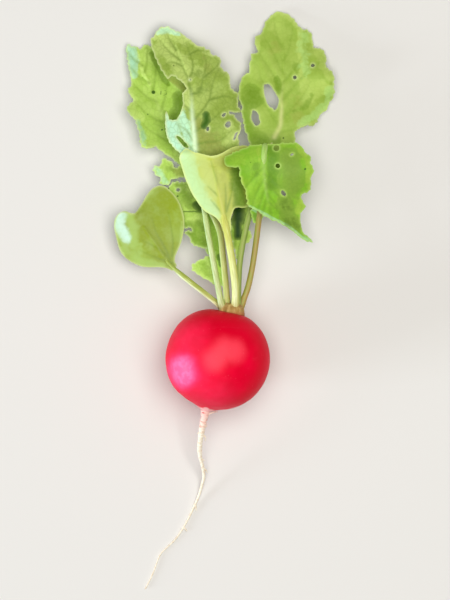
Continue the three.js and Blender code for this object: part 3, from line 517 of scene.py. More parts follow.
leftSeedLeaf = {
    "node": "seed_leaf_left", "slot": "seed_leaf", "seed": 43,
    "veinLines": [
        [[172, 263], [160, 259], [150, 255], [140, 250]],
        [[170, 259], [160, 250], [150, 244], [142, 240]],
        [[169, 256], [163, 244], [156, 232], [152, 218]],
        [[172, 256], [173, 242], [171, 226], [168, 210]],
    ],
    "veinDepth": 0.75, "ribSunk": 0.8, "flattened": 0.5, "ribGlow": (0.1, 0.35), "relief": 0.25,
    "wobble": 0.05,
    "greens": {
        "leaf": (136, 154, 32), "deep": (130, 150, 28), "light": (160, 188, 94),
        "dark": (112, 136, 30), "mintSheenAndUnderside": (204, 240, 222), "olive": (148, 168, 42),
        "shade": (100, 126, 30), "rib": (158, 176, 66), "rim": (196, 208, 140),
        "under": (164, 184, 104), "spot": (90, 110, 40),
    },
    "stalkColours": {
        "foot": (176, 168, 86), "top": (164, 178, 74), "left": (236, 246, 200),
        "right": (166, 176, 72),
    },
    "patches": {
        "light": [
            ([[130, 220], [131, 238]], 7, 0.5), ([[118, 214], [119, 226], [124, 240]], 7, 0.9),
            ([[122, 236], [126, 251], [140, 262], [160, 266]], 6, 0.8),
            ([[128, 214], [133, 228], [133, 244]], 7, 0.9), ([[141, 244], [140, 253]], 3.4, 0.6),
            ([[147, 247], [156, 254]], 4.2, 0.42), ([[147, 198], [155, 189]], 2, 0.4),
            ([[182, 222], [181, 240], [175, 258]], 1.6, 0.6),
        ],
        "mintSheenAndUnderside": [([[120, 216], [121, 226], [127, 237]], 6.4, 0.82)],
    },
    "stalk": [
        [224.6, 312, 14.8, stalkEndRadius], [221.8, 308, 14.8, stalkEndRadius],
        [216.6, 302.8, 14.7, 0.85], [206, 294.2, 14.2, 0.92], [190, 281.8, 12.8, 0.95],
        [177, 271, 11.4, 1.0], [168.5, 263, 10.6, 1.0],
    ],
    "rib": [[163, 255], [157, 246], [150, 236], [144, 227]],
    "blade": {
        "heel": [174, 270], "tip": [133, 210], "heights": [10.8, 10.4, 10.4, 10.2, 9.6, 8.8],
        "left": 17, "right": 18, "cupLeft": -4.4, "cupRight": 1.5, "slope": 0.4, "ruffle": 0.5,
        "waves": 1, "phase": 0.4,
        "curls": [
            ([[116, 218], [116, 238], [124, 254]], 7, 1.0), ([[122, 212], [134, 214]], 5, 0.8),
        ],
        "outline": [
            [172.5, 270.5], [168, 268.6], [162, 267.4], [152, 267.2], [142.1, 266.5], [133, 262.7],
            [127.5, 259.3], [123, 255], [120, 250.5], [118, 245], [116.3, 237.4], [114.6, 230],
            [114, 224.5], [115.2, 218], [118.5, 213.5], [122, 211.4], [126, 211.2], [130.5, 212.8],
            [134.4, 213.2], [138.5, 208.5], [142, 203], [146, 196], [150.8, 189.8], [155.5, 186.6],
            [160.5, 185.2], [166, 187], [171, 191], [175.5, 196], [179, 201.5], [181.8, 208.5],
            [184, 217.5], [184.3, 225], [183.2, 234], [181, 242.5], [178, 250], [175.2, 256.5],
            [174.8, 261.5], [176.6, 265.2],
        ],
        "holes": [],
    },
}

taproot = [
    [208.4, 397, 16.6, 1.3], [207.4, 401.5, 16.6, 1.7], [206.4, 405.5, 16.6, rootCollarRadius],
    [205.2, 412, 16.4, 1.4], [203.8, 420, 15.8, 1.1], [202.6, 426, 15.1, 1.15],
    [201.3, 434, 13.9, 0.9], [200, 442, 12.3, 0.84], [199.6, 451, 10.3, 0.82],
    [200.4, 458, 8.6, 0.64], [202.2, 465, 6.8, 0.56], [203.8, 477, 4, 0.56],
    [201.4, 487.4, 2.2, 0.5], [198, 498.2, 1.1, 0.48], [193.9, 507.3, 0.6, 0.44],
    [188.9, 518.1, 0.46, 0.4], [183.9, 527.2, 0.44, 0.38], [175.7, 539.6, 0.42, 0.36],
    [166.5, 548.7, 0.4, 0.34], [160.7, 554.6, 0.38, 0.33], [157.4, 561.2, 0.37, 0.32],
    [154.9, 568.6, 0.36, 0.31], [151.6, 576.9, 0.34, rootTipRadius],
    [148.3, 583.6, 0.34, rootTipRadius], [144.6, 590.6, 0.34, rootTipRadius],
]

rootlets = [
    [[204.4, 416, 16, 0.5], [208, 414.4, 16.2, 0.34], [212.5, 412.4, 15.4, 0.28], [217.5, 411.6,
        13.8, 0.26]],
    [[203.4, 424, 15.2, 0.5], [207.2, 426.4, 15.4, 0.3]],
    [[201.4, 432, 14, 0.5], [197.2, 433.6, 13.8, 0.3]],
    [[201.2, 434, 13.8, 0.45], [205.2, 437, 13.6, 0.3], [205.4, 441, 12.6, 0.28]],
    [[201.2, 459, 8.2, 0.4], [204.4, 461, 8, 0.26]],
    [[203, 468.6, 6, 0.4], [205.4, 470, 5.6, 0.28], [207.6, 473.6, 4.6, 0.24]],
    [[195.4, 504, 0.7, 0.34], [196, 511.6, 0.5, 0.26]],
    [[183.6, 528, 0.44, 0.3], [187, 532.4, 0.42, 0.24]],
]


# curves and distances

def curveAt(points, at):
    # a smooth curve through the points, read at the given places along their count
    points = np.asarray(points, float)
    ends = np.vstack([2 * points[0] - points[1], points, 2 * points[-1] - points[-2]])
    k = np.clip(np.floor(at).astype(int), 0, len(points) - 2)
    w = (at - k)[:, None]
    a, b, c, d = ends[k], ends[k + 1], ends[k + 2], ends[k + 3]
    gaps = [np.sqrt(np.linalg.norm(q - p, axis=1))[:, None] for p, q in ((a, b), (b, c), (c, d))]
    before, here, after = gaps
    leave = ((b - a) / before - (c - a) / (before + here) + (c - b) / here) * here
    arrive = ((c - b) / here - (d - b) / (here + after) + (d - c) / after) * here
    return (
        (2 * w**3 - 3 * w**2 + 1) * b + (w**3 - 2 * w**2 + w) * leave
        + (3 * w**2 - 2 * w**3) * c + (w**3 - w**2) * arrive
    )


def runAlong(spots):
    # the length passed at each spot of a line
    return np.concatenate([[0], np.cumsum(np.linalg.norm(np.diff(spots, axis=0), axis=1))])


def rounded(path, times):
    return curveAt(path, np.linspace(0, len(path) - 1, times * len(path)))


def evenSteps(points, spacing):
    # places along the count of the points that are evenly spaced along the curve
    fine = np.linspace(0, len(points) - 1, curveDetail * len(points))
    run = runAlong(curveAt(points, fine))
    steps = max(2, round(run[-1] / spacing))
    return np.interp(np.linspace(0, run[-1], steps + 1), run, fine), run[-1]


def nearPath(x, y, path):
    # distance to a path, and the share of it that has passed at its nearest point
    best, share = np.full(x.shape, 1.0), np.zeros(x.shape)
    for k in range(len(path) - 1):
        step = path[k + 1] - path[k]
        t = ((x - path[k][0]) * step[0] + (y - path[k][1]) * step[1]) / step.dot(step)
        t = np.clip(t, 0, 1)
        away = np.hypot(x - path[k][0] - t * step[0], y - path[k][1] - t * step[1])
        share = np.where(away < best, (k + t) / (len(path) - 1), share)
        best = np.minimum(best, away)
    return best, share


def smoothStep(low, high, value):
    t = np.clip((value - low) / (high - low), 0, 1)
    return t * t * (3 - 2 * t)


def bell(value, width):
    return np.exp(-((value / width) ** 2))


def softPatch(x, y, path, width):
    # full along a path or a single point, and gone a little beyond the width
    path = path if len(path) > 1 else [path[0], [path[0][0] + 0.1, path[0][1]]]
    away, _ = nearPath(x, y, planPath(path))
    return 1 - smoothStep(0.1, 1.7, away / (width * unit))


def flatSpots(x, y):
    return np.column_stack([x, y, np.zeros(len(x))])


def lumpField(spots, size, seed):
    offset = Vector((seed * 1.7, seed * 0.9, seed * 2.3))
    return np.array([noise.noise(Vector(p) / size + offset) for p in spots])


# meshes

def newObject(name, mesh):
    made = bpy.data.objects.new(name, mesh)
    bpy.context.scene.collection.objects.link(made)
    return made


def objectFrom(name, bm):
    mesh = bpy.data.meshes.new(name)
    bm.to_mesh(mesh)
    bm.free()
    return newObject(name, mesh)


def readSpots(mesh):
    spots = np.empty(len(mesh.vertices) * 3, np.float32)
    mesh.vertices.foreach_get("co", spots)
    return spots.reshape(-1, 3).astype(float)


def writeSpots(mesh, spots):
    mesh.vertices.foreach_set("co", spots.astype(np.float32).ravel())
    mesh.update()


def mark(mesh, name, values):
    layer = mesh.attributes.new(name, "FLOAT", "POINT")
    layer.data.foreach_set("value", np.asarray(values, np.float32))


def markVectors(mesh, name, values):
    layer = mesh.attributes.new(name, "FLOAT_VECTOR", "POINT")
    layer.data.foreach_set("vector", np.asarray(values, np.float32).ravel())


def applyModifiers(made):
    graph = bpy.context.evaluated_depsgraph_get()
    mesh = bpy.data.meshes.new_from_object(made.evaluated_get(graph))
    old = made.data
    made.modifiers.clear()
    made.data = mesh
    bpy.data.meshes.remove(old)


def carve(made, cutter, operation):
    cut = made.modifiers.new("cut", "BOOLEAN")
    cut.operation = operation
    cut.solver = "MANIFOLD"
    cut.object = cutter
    applyModifiers(made)
    old = cutter.data
    bpy.data.objects.remove(cutter)
    bpy.data.meshes.remove(old)


def joined(name, parts):
    # one object from several, which keep their materials and their marks
    with bpy.context.temp_override(
        active_object=parts[0], object=parts[0],
        selected_objects=parts, selected_editable_objects=parts,
    ):
        bpy.ops.object.join()
    parts[0].name = name
    parts[0].data.name = name
    return parts[0]


def finishPiece(piece, node, sharpAngle=50):
    piece.data.shade_smooth()
    piece.data.set_sharp_from_angle(angle=math.radians(sharpAngle))
    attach(piece, "root")
    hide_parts(node)
    print("piece:", piece.name, len(piece.data.polygons), "faces")


def sweptStem(name, points, sides, spacing, profile):
    # a grid is wrapped round a smooth path, joined along its seam and closed at its ends
    knots = stemPath(points)
    at, length = evenSteps(knots, spacing * mm)
    spots = curveAt(knots, at)
    radii = np.interp(at, np.arange(len(points)), [p[3] * mm for p in points])
    ahead = np.gradient(spots, axis=0)
    ahead /= np.linalg.norm(ahead, axis=1)[:, None]
    tops = []
    top = np.array((0, 0, 1.0))
    for direction in ahead:
        top = top - top.dot(direction) * direction
        top /= np.linalg.norm(top)
        tops.append(top)
    tops = np.array(tops)
    rights = np.cross(ahead, tops)
    rows = len(at) - 1
    bm = bmesh.new()
    bmesh.ops.create_grid(bm, x_segments=rows, y_segments=sides, size=0.5)
    steps = np.array([round((vert.co.x + 0.5) * rows) for vert in bm.verts])
    turns = np.array([2 * math.pi * (vert.co.y + 0.5) for vert in bm.verts])
    along = np.linspace(0, 1, rows + 1)[steps]
    run = along * length / mm
    radius = radii[steps] * profile(along, turns, run)
    outward = np.cos(turns)[:, None] * tops[steps] + np.sin(turns)[:, None] * rights[steps]
    placed = spots[steps] + outward * radius[:, None]
    for vert, spot in zip(bm.verts, placed):
        vert.co = spot
    mesh = bpy.data.meshes.new(name)
    bm.to_mesh(mesh)
    bm.free()
    mark(mesh, "along", along)
    mark(mesh, "across", np.sin(turns))
    mark(mesh, "foot", bell(run, 2.6))
    markVectors(mesh, "grain", np.column_stack([np.cos(turns), np.sin(turns), run]))
    bm = bmesh.new()
    bm.from_mesh(mesh)
    bmesh.ops.remove_doubles(bm, verts=bm.verts[:], dist=weldDistance)
    bmesh.ops.holes_fill(bm, edges=[e for e in bm.edges if e.is_boundary], sides=0)
    bmesh.ops.recalc_face_normals(bm, faces=bm.faces[:])
    bm.to_mesh(mesh)
    bm.free()
    return newObject(name, mesh)


# blades

sheet = {
    "cell": 0.32, "thickness": 0.44, "marginThickness": 0.26, "marginWidth": 0.9, "rimWidth": 0.42,
    "ribFillet": 0.3, "ribWidth": 0.82, "reach": 12, "lowest": 0.42, "softness": 1.2,
    "restSink": 0.1, "edgeStep": 0.35, "holeStep": 0.3, "holeWobble": 0.3, "leafletWobble": 1.3,
    "tooth": 0.9, "cutDepth": 5, "spare": 0.5, "nudge": 0.2, "ruffleReach": 1.4,
    "ruffleShift": 0.37, "veinStrides": 8, "veinWidth": 0.5, "veinCut": 0.2, "puffWidth": 1.8,
    "puffHeight": 0.42, "lumpHeight": 0.25, "broadLump": 5, "fineLump": 2, "ribThick": 0.86,
    "ribThin": 0.26, "ribSunk": 0.45, "ribSunkTip": 0.95,
}


def refined(ring, spacing, wobble, seed):
    # an outline rounded through its points, with fine teeth along its edge
    points = planPath(ring)
    count = len(points)
    loop = np.vstack([points[-1:], points, points[:2]])
    fine = curveAt(loop, np.linspace(1, count + 1, curveDetail * count))
    run = runAlong(fine)
    steps = max(6, round(run[-1] / (spacing * mm)))
    at = np.linspace(0, run[-1], steps + 1)[:-1]
    edge = np.column_stack([np.interp(at, run, fine[:, k]) for k in (0, 1)])
    ahead = np.roll(edge, -1, axis=0) - np.roll(edge, 1, axis=0)
    out = np.column_stack([ahead[:, 1], -ahead[:, 0]])
    out /= np.linalg.norm(out, axis=1)[:, None] + 1e-12
    flat, tooth = flatSpots(edge[:, 0], edge[:, 1]), sheet["tooth"] * mm
    teeth = lumpField(flat, tooth, seed) + 0.5 * lumpField(flat, tooth / 2, seed + 3)
    return edge + out * (teeth * wobble * mm)[:, None]


def prism(name, rings):
    bm = bmesh.new()
    depth = sheet["cutDepth"] * mm
    for ring in rings:
        face = bm.faces.new([bm.verts.new((x, y, -depth)) for x, y in ring])
        grown = bmesh.ops.extrude_face_region(bm, geom=[face])
        raised = [v for v in grown["geom"] if isinstance(v, bmesh.types.BMVert)]
        bmesh.ops.translate(bm, vec=(0, 0, 2 * depth), verts=raised)
    bmesh.ops.recalc_face_normals(bm, faces=bm.faces[:])
    return objectFrom(name, bm)


def freeHeight(shape, x, y):
    # a blade before it rests on the floor: its middle line, its cup and the waves of its sides
    heel, tip = planPath([shape["heel"], shape["tip"]])
    length = np.linalg.norm(tip - heel)
    axis = (tip - heel) / length
    along = (x - heel[0]) * axis[0] + (y - heel[1]) * axis[1]
    side = (y - heel[1]) * axis[0] - (x - heel[0]) * axis[1]
    share = np.clip(along / length, 0, 1)
    knots = np.column_stack([np.arange(len(shape["heights"])), shape["heights"]])
    middle = curveAt(knots, share * (len(knots) - 1))[:, 1]
    out = side / (sheet["reach"] * mm)
    cup = np.where(side > 0, shape["cupLeft"], shape["cupRight"]) * out**2
    shift = np.where(side > 0, 0, sheet["ruffleShift"])
    turns = shape.get("waves", 2) * share + shape.get("phase", 0) + shift
    spread = np.clip(np.abs(out), 0, sheet["ruffleReach"]) ** 2
    wave = shape.get("ruffle", 0) * spread * np.sin(2 * math.pi * turns)
    return middle + cup + shape.get("slope", 0) * out + wave


def restingHeight(height):
    above = height - sheet["lowest"]
    eased = 0.5 * (above + np.sqrt(above**2 + sheet["softness"] ** 2))
    return sheet["lowest"] + eased - sheet["restSink"]


def sideVeins(rib, pairs, angle, reach, bend, seed):
    # veins that leave the rib in turn to both sides and bend towards its tip
    chance = random.Random(seed)
    path = planPath(rib)
    strides = sheet["veinStrides"]
    veins = []
    for k in range(2 * pairs):
        hand = 1 if k % 2 else -1
        share = (0.3 + k * 0.5 + chance.uniform(-0.14, 0.14)) / pairs
        angle += chance.uniform(-4, 4)
        if share > 0.97:
            continue
        spot = curveAt(path, np.array([share, share + 0.02]) * (len(path) - 1))
        ahead = spot[1] - spot[0]
        opening = math.radians(angle * (1.15 - 0.5 * share))
        heading = math.atan2(ahead[1], ahead[0]) + hand * opening
        swell = 0.65 + 0.35 * math.sin(math.pi * (0.15 + 0.8 * share))
        stride = reach * unit * swell / strides
        vein = [spot[0]]
        for _ in range(strides):
            vein.append(vein[-1] + stride * np.array([math.cos(heading), math.sin(heading)]))
            heading -= hand * math.radians(bend + chance.uniform(-60, 60)) / strides
        veins.append(np.array(vein))
    return veins


def reliefMarks(x, y, rib, veins, edges):
    # how near each place is to the rib, the veins and the margin
    marks = {"rib": np.zeros(x.shape), "ribShare": 0}
    if rib:
        away, share = nearPath(x, y, rounded(planPath(rib), 6))
        marks["rib"] = bell(away, sheet["ribWidth"] * mm * (1.1 - 0.75 * share))
        marks["ribShare"] = share
    vein, puff = np.zeros(x.shape), np.ones(x.shape)
    for path in veins:
        away, share = nearPath(x, y, path)
        width = (sheet["veinWidth"] - 0.25 * share) * mm
        vein = np.maximum(vein, (1 - 0.6 * share) * bell(away, width))
        puff = np.minimum(puff, 1 - bell(away, sheet["puffWidth"] * mm))
    marks["vein"] = vein
    marks["puff"] = puff * (1 - marks["rib"])
    margin = np.full(x.shape, 1.0)
    for ring in edges:
        margin = np.minimum(margin, nearPath(x, y, np.vstack([ring, ring[:1]]))[0])
    marks["margin"] = bell(margin, sheet["marginWidth"] * mm)
    marks["rim"] = bell(margin, sheet["rimWidth"] * mm)
    return marks


def cutSheet(name, ring, holes):
    # a flat sheet on a grid, cut along its outline and its holes
    cell = sheet["cell"] * mm * 1
    spare = sheet["spare"] * mm
    low, high = ring.min(axis=0) - spare, ring.max(axis=0) + spare
    size, middle = high - low, (high + low) / 2
    bm = bmesh.new()
    bmesh.ops.create_grid(
        bm, x_segments=math.ceil(size[0] / cell), y_segments=math.ceil(size[1] / cell), size=0.5
    )
    bmesh.ops.scale(bm, vec=(size[0], size[1], 1), verts=bm.verts[:])
    bmesh.ops.translate(bm, vec=(middle[0], middle[1], 0), verts=bm.verts[:])
    bmesh.ops.solidify(bm, geom=bm.faces[:], thickness=sheet["thickness"] * mm)
    bmesh.ops.recalc_face_normals(bm, faces=bm.faces[:])
    blade = objectFrom(name, bm)
    carve(blade, prism("outline", [ring]), "INTERSECT")
    if holes:
        carve(blade, prism("holes", holes), "DIFFERENCE")
    return blade


def curledBlade(name, shape, leaf, rib, seed, wobble):
    # the cut sheet is bent to its heights and marked for its finish
    ring = refined(shape["outline"], sheet["edgeStep"], wobble, seed)
    holes = [
        refined(hole, sheet["holeStep"], sheet["holeWobble"] * wobble, seed + 5 + k)
        for k, hole in enumerate(shape["holes"])
    ]
    blade = cutSheet(name, ring, holes)
    mesh = blade.data
    spots = readSpots(mesh)
    x, y = spots[:, 0], spots[:, 1]
    face = np.where(spots[:, 2] > (spots[:, 2].min() + spots[:, 2].max()) / 2, 1.0, -1.0)
    veins = [rounded(planPath(line), 5) for line in leaf.get("veinLines", [])]
    if rib and "veins" in leaf:
        veins += sideVeins(rib, *leaf["veins"], seed)
    marks = reliefMarks(x, y, rib, veins, [ring] + holes)
    flat = flatSpots(x, y)
    lumps = lumpField(flat, sheet["broadLump"] * mm, seed)
    lumps = lumps + 0.4 * lumpField(flat, sheet["fineLump"] * mm, seed + 9)
    puckers = sheet["puffHeight"] * marks["puff"] - sheet["veinCut"] * marks["vein"]
    detail = leaf["relief"] * (puckers + sheet["lumpHeight"] * lumps)
    detail += sheet["ribFillet"] * marks["rib"]
    for path, width, lift in shape.get("curls", []):
        away, _ = nearPath(x, y, planPath(path))
        detail += lift * bell(away, width * unit)

    def smoothHeight(atX, atY):
        return restingHeight(freeHeight(shape, atX, atY)) * mm

    nudge = sheet["nudge"] * mm
    tiltX = (smoothHeight(x + nudge, y) - smoothHeight(x - nudge, y)) / (2 * nudge)
    tiltY = (smoothHeight(x, y + nudge) - smoothHeight(x, y - nudge)) / (2 * nudge)
    up = np.column_stack([-tiltX, -tiltY, np.ones(len(x))])
    up /= np.linalg.norm(up, axis=1)[:, None]
    height = restingHeight(freeHeight(shape, x, y) + detail) * mm
    thinner = sheet["marginThickness"] - sheet["thickness"]
    thick = sheet["thickness"] + thinner * marks["margin"]
    placed = np.column_stack([x, y, height]) + up * (face * thick * mm / 2)[:, None]
    writeSpots(mesh, placed)
    glow, fade = leaf["ribGlow"]
    faded = smoothStep(fade - 0.2, fade + 0.2, marks["ribShare"])
    mark(mesh, "vein", marks["vein"])
    mark(mesh, "rib", marks["rib"] * glow * (1 - faded))
    mark(mesh, "rim", marks["rim"])
    mark(mesh, "under", face < 0)
    # tint marks: mint for painted sheen, light for painted light, dark and shade for painted shade,
    # olive and spot mostly for the leaf's own tones
    for tint in ("mintSheenAndUnderside", "light", "dark", "olive", "shade", "spot"):
        total = np.zeros(len(x))
        for path, width, strength in leaf["patches"].get(tint, []):
            total = np.maximum(total, strength * softPatch(x, y, path, width))
        mark(mesh, tint, total)
    return blade


def pathLength(points):
    return runAlong(stemPath(points))[-1]


def ribPoints(shape, rib, sunkFirst):
    # the rib lies half in the blade and sinks into it towards the tip
    points = []
    for k, (x, y) in enumerate(rib):
        share = k / (len(rib) - 1)
        radius = sheet["ribThick"] + (sheet["ribThin"] - sheet["ribThick"]) * k / (len(rib) - 1)
        spot = np.array([planX(x)]), np.array([planY(y)])
        height = restingHeight(freeHeight(shape, *spot))[0]
        sunk = sunkFirst + (sheet["ribSunkTip"] - sunkFirst) * math.sqrt(share)
        points.append([x, y, height - sunk * radius, radius])
    return points


def petiole(bladeStart, flattened):
    # fine ridges run up a stalk, with a shallow channel along its upper side and a wide foot
    def profile(along, turns, run):
        channel = 0.1 * bell(np.cos(turns) - 1, 0.12)
        foot = 0.85 * bell(run, 3.2)
        flat = flattened * smoothStep(bladeStart - 0.2, bladeStart, along)
        return (1 + 0.035 * np.cos(6 * turns) - channel + foot) * (1 - flat)
    return profile


# finishes

def colour(red, green, blue):
    # a screen colour from 0 to 255 as the light that Blender works in
    parts = [v / 255 for v in (red, green, blue)]
    light = [v / 12.92 if v <= 0.04045 else ((v + 0.055) / 1.055) ** 2.4 for v in parts]
    return (*light, 1)


class Wire:
    # a socket that sums are written with
    def __init__(self, finish, socket):
        self.finish = finish
        self.socket = socket

    def sum(self, operation, one, other):
        return self.finish.add("Math", {"operation": operation}, {0: one, 1: other})

    def __add__(self, other):
        return self.sum("ADD", self, other)

    def __sub__(self, other):
        return self.sum("SUBTRACT", self, other)

    def __rsub__(self, other):
        return self.sum("SUBTRACT", other, self)

    def __mul__(self, other):
        return self.sum("MULTIPLY", self, other)

    __radd__ = __add__
    __rmul__ = __mul__


class Finish:
    # a material whose paint is laid tone over tone, from the first tone up
    def __init__(self, name, tones, constants):
        self.material = bpy.data.materials.new(name)
        self.material.use_nodes = True
        self.tree = self.material.node_tree
        self.skin = self.tree.nodes["Principled BSDF"]
        for socket, value in constants.items():
            self.skin.inputs[socket].default_value = value
        self.place = self.add("TexCoord", out="Object")
        self.tones = {key: colour(*value) for key, value in tones.items()}
        self.paint = next(iter(self.tones.values()))

    def add(self, kind, settings=None, values=None, out=0):
        node = self.tree.nodes.new("ShaderNode" + kind)
        for key, value in (settings or {}).items():
            setattr(node, key, value)
        for socket, value in (values or {}).items():
            self.feed(node.inputs[socket], value)
        return Wire(self, node.outputs[out])

    def feed(self, socket, value):
        if isinstance(value, Wire):
            self.tree.links.new(value.socket, socket)
        else:
            socket.default_value = value

    def give(self, **values):
        self.feed(self.skin.inputs["Base Color"], self.paint)
        for socket, value in values.items():
            self.feed(self.skin.inputs[socket.replace("_", " ")], value)
        return self.material

    def cover(self, mask, tone):
        values = {0: mask, 6: self.paint, 7: self.tones[tone]}
        self.paint = self.add("Mix", {"data_type": "RGBA"}, values, out=2)

    def masked(self, name):
        return self.add("Attribute", {"attribute_name": name}, out="Fac")

    def grained(self):
        return self.add("Attribute", {"attribute_name": "grain"}, out="Vector")

    def speckle(self, scale, detail=3, where=None):
        values = {
            "Vector": where or self.place, "Scale": scale, "Detail": detail, "Roughness": 0.55,
        }
        return self.add("TexNoise", None, values, out="Fac")

    def ramp(self, value, low, high):
        values = {"Value": value, "From Min": low, "From Max": high}
        return self.add("MapRange", {"interpolation_type": "SMOOTHSTEP"}, values)

    def stretched(self, where, scale):
        return self.add("Mapping", None, {"Vector": where, "Scale": scale})

    def cells(self, scale, feature="DISTANCE_TO_EDGE"):
        values = {"Vector": self.place, "Scale": scale}
        return self.add("TexVoronoi", {"feature": feature}, values, out="Distance")

    def bump(self, height, strength, distance):
        values = {"Height": height, "Strength": strength, "Distance": distance}
        return self.add("Bump", None, values)


def bladeFinish(name, greens, veinDepth, smooth):
    # veined leaf: broad tints come from the marks on the mesh, among them painted sheen, painted
    # light and painted shade; the net and the grain come from nodes
    leaf = Finish(name, greens, {"Specular IOR Level": 0.26 if smooth else 0.16})
    broad, fine = leaf.speckle(130, 3), leaf.speckle(1100, 4)
    leaf.cover(leaf.ramp(broad, 0.42, 0.6) * 0.4, "light")
    leaf.cover(leaf.ramp(leaf.speckle(85, 2), 0.5, 0.62) * 0.35, "deep")
    ragged = 0.4 * leaf.ramp(leaf.speckle(260, 4), 0.34, 0.66) - 0.2

    def coverPatches(kind):
        mask = leaf.masked(kind)
        spread = leaf.ramp(mask + ragged, 0.12 if smooth else 0.2, 0.72 if smooth else 0.48)
        leaf.cover(spread * (0.3 + 0.7 * mask), kind)

    # olive is mostly the leaf's own yellowing; light, dark and mint lay painted light, painted
    # shade and painted sheen
    for kind in ("olive", "light", "dark", "mintSheenAndUnderside"):
        coverPatches(kind)
    cell = 300 if smooth else 520
    net = 1 - leaf.ramp(leaf.cells(cell), 0.0, 0.16)
    leaf.cover(net * (0.05 if smooth else 0.3 * veinDepth), "dark")
    leaf.cover(leaf.masked("vein") * veinDepth, "dark")
    leaf.cover(leaf.masked("rib"), "rib")
    leaf.cover(leaf.masked("rim") * 0.7, "rim")
    leaf.cover(leaf.ramp(fine, 0.35, 0.75) * 0.14, "light")
    leaf.cover(leaf.masked("under") * 0.5, "under")
    coverPatches("shade")
    leaf.cover(leaf.ramp(leaf.masked("spot"), 0.25, 0.6), "spot")
    height = leaf.cells(cell) * (0.2 if smooth else 0.9) + 0.35 * fine
    return leaf.give(
        Roughness=(0.34 if smooth else 0.46) + 0.18 * broad,
        Normal=leaf.bump(height, 0.25 if smooth else 0.5, 0.25 * mm),
    )


def stalkFinish(name, tones, greens, bladeStart):
    allTones = {"foot": tones["foot"], **greens, **tones, "scar": (184, 148, 82)}
    stalk = Finish(name, allTones, {"Specular IOR Level": 0.5})
    along, across = stalk.masked("along"), stalk.masked("across")
    streaks = stalk.speckle(3.6, 4, stalk.stretched(stalk.grained(), (1, 1, 0.08)))
    stalk.cover(stalk.ramp(along, 0.04, 0.55), "top")
    # painted light and shade: one side of the stalk lighter and the other darker, over its own side
    # colours
    stalk.cover(stalk.ramp(0 - across, 0.25, 0.8) * 0.85, "left")
    stalk.cover(stalk.ramp(across, 0.25, 0.8) * 0.85, "right")
    stalk.cover(stalk.ramp(along, bladeStart - 0.18, bladeStart - 0.04), "rib")
    stalk.cover(stalk.masked("foot") * (0.55 + 0.7 * streaks), "scar")
    stalk.cover(stalk.ramp(streaks, 0.44, 0.62) * 0.45, "deep")
    stalk.cover(stalk.ramp(streaks, 0.46, 0.36) * 0.4, "left")
    return stalk.give(
        Roughness=0.36 + 0.2 * streaks,
        Normal=stalk.bump(streaks, 0.4, 0.2 * mm),
    )


def skinFinish():
    skin = Finish("redSkin", {
        "skin": (222, 0, 40), "bright": (240, 2, 52), "deep": (196, 0, 32), "paintedSheen": (250, 100, 142),
        "glow": (252, 66, 86), "paintedHighlight": (246, 84, 150), "paintedHighlightCore": (246, 146, 204),
        "band": (250, 84, 104), "dot": (252, 140, 150), "collar": (142, 58, 34),
        "pale": (248, 196, 190),
    }, {
        "Specular IOR Level": 0.05, "Coat Roughness": 0.2,
        "Sheen Weight": 0.12, "Sheen Roughness": 0.3, "Sheen Tint": colour(255, 30, 70),
    })
    broad, fine = skin.speckle(60, 3), skin.speckle(900, 4)
    ragged = 0.5 * skin.speckle(150, 3) - 0.25
    skin.cover(skin.ramp(broad, 0.4, 0.62), "bright")
    # painted shade on the right and lower side
    skin.cover(skin.masked("deep") * 0.7, "deep")
    # painted sheen, a pinkish lift on the window-lit side
    skin.cover(skin.masked("paintedSheen") * (0.06 + 0.14 * skin.speckle(330, 4)), "paintedSheen")
    # painted highlight of the overhead light, with ragged edges
    skin.cover(skin.ramp(skin.masked("glow") + ragged, 0.05, 1.1) * 0.95, "glow")
    # painted highlight of the window light, with a paler painted core
    paintedHighlight = skin.masked("paintedHighlight")
    skin.cover(skin.ramp(paintedHighlight + ragged, 0.1, 0.8) * 0.5, "paintedHighlight")
    mottle = skin.ramp(skin.speckle(420, 4), 0.4, 0.62)
    skin.cover(skin.ramp(paintedHighlight + ragged, 0.4, 1.05) * (0.26 + 0.24 * mottle), "paintedHighlightCore")
    bands = skin.speckle(260, 4, skin.stretched(skin.place, (0.35, 1.6, 0.35)))
    skin.cover(skin.ramp(bands, 0.62, 0.78) * 0.2, "band")
    skin.cover(skin.ramp(skin.cells(700, feature="F1"), 0.1, 0.02) * 0.3, "dot")
    skin.cover(skin.masked("collar") * (0.4 + 0.5 * broad), "collar")
    skin.cover(skin.ramp(skin.masked("pale") + ragged, 0.2, 0.55) * 0.8, "pale")
    return skin.give(
        Roughness=0.34 + 0.16 * broad + 0.08 * fine,
        Coat_Weight=0.01 + 0.03 * broad,
        Normal=skin.bump(bands + 0.4 * fine, 0.16, 0.2 * mm),
    )


def rootFinish():
    tones = {
        "cream": (250, 242, 222), "ring": (228, 206, 176), "neck": (240, 176, 172),
        "redRing": (196, 52, 62),
    }
    root = Finish("rootSkin", tones, {"Specular IOR Level": 0.4})
    rings = root.speckle(1.6, 4, root.stretched(root.grained(), (0.4, 0.4, 1.3)))
    neck = root.masked("neck")
    root.cover(root.ramp(rings, 0.4, 0.72), "ring")
    root.cover(neck * 0.75, "neck")
    root.cover(neck * root.ramp(rings, 0.52, 0.66), "redRing")
    return root.give(
        Roughness=0.62 + 0.2 * rings,
        Normal=root.bump(rings, 0.6, 0.25 * mm),
    )


def crownFinish():
    tones = {
        "cork": (206, 176, 112), "fibre": (168, 132, 70), "base": (172, 104, 62),
        "pore": (118, 84, 40),
    }
    knob = Finish("crownSkin", tones, {"Specular IOR Level": 0.25})
    fibres = knob.speckle(900, 5, knob.stretched(knob.place, (1, 0.3, 1)))
    fine = knob.speckle(2600, 3)
    knob.cover(knob.ramp(fibres, 0.35, 0.65), "fibre")
    knob.cover(knob.masked("base") * 0.8, "base")
    knob.cover(knob.ramp(fine, 0.55, 0.72) * 0.35, "pore")
    return knob.give(
        Roughness=0.7 + 0.2 * fine,
        Normal=knob.bump(fibres + 0.4 * fine, 0.6, 0.25 * mm),
    )


# leaves

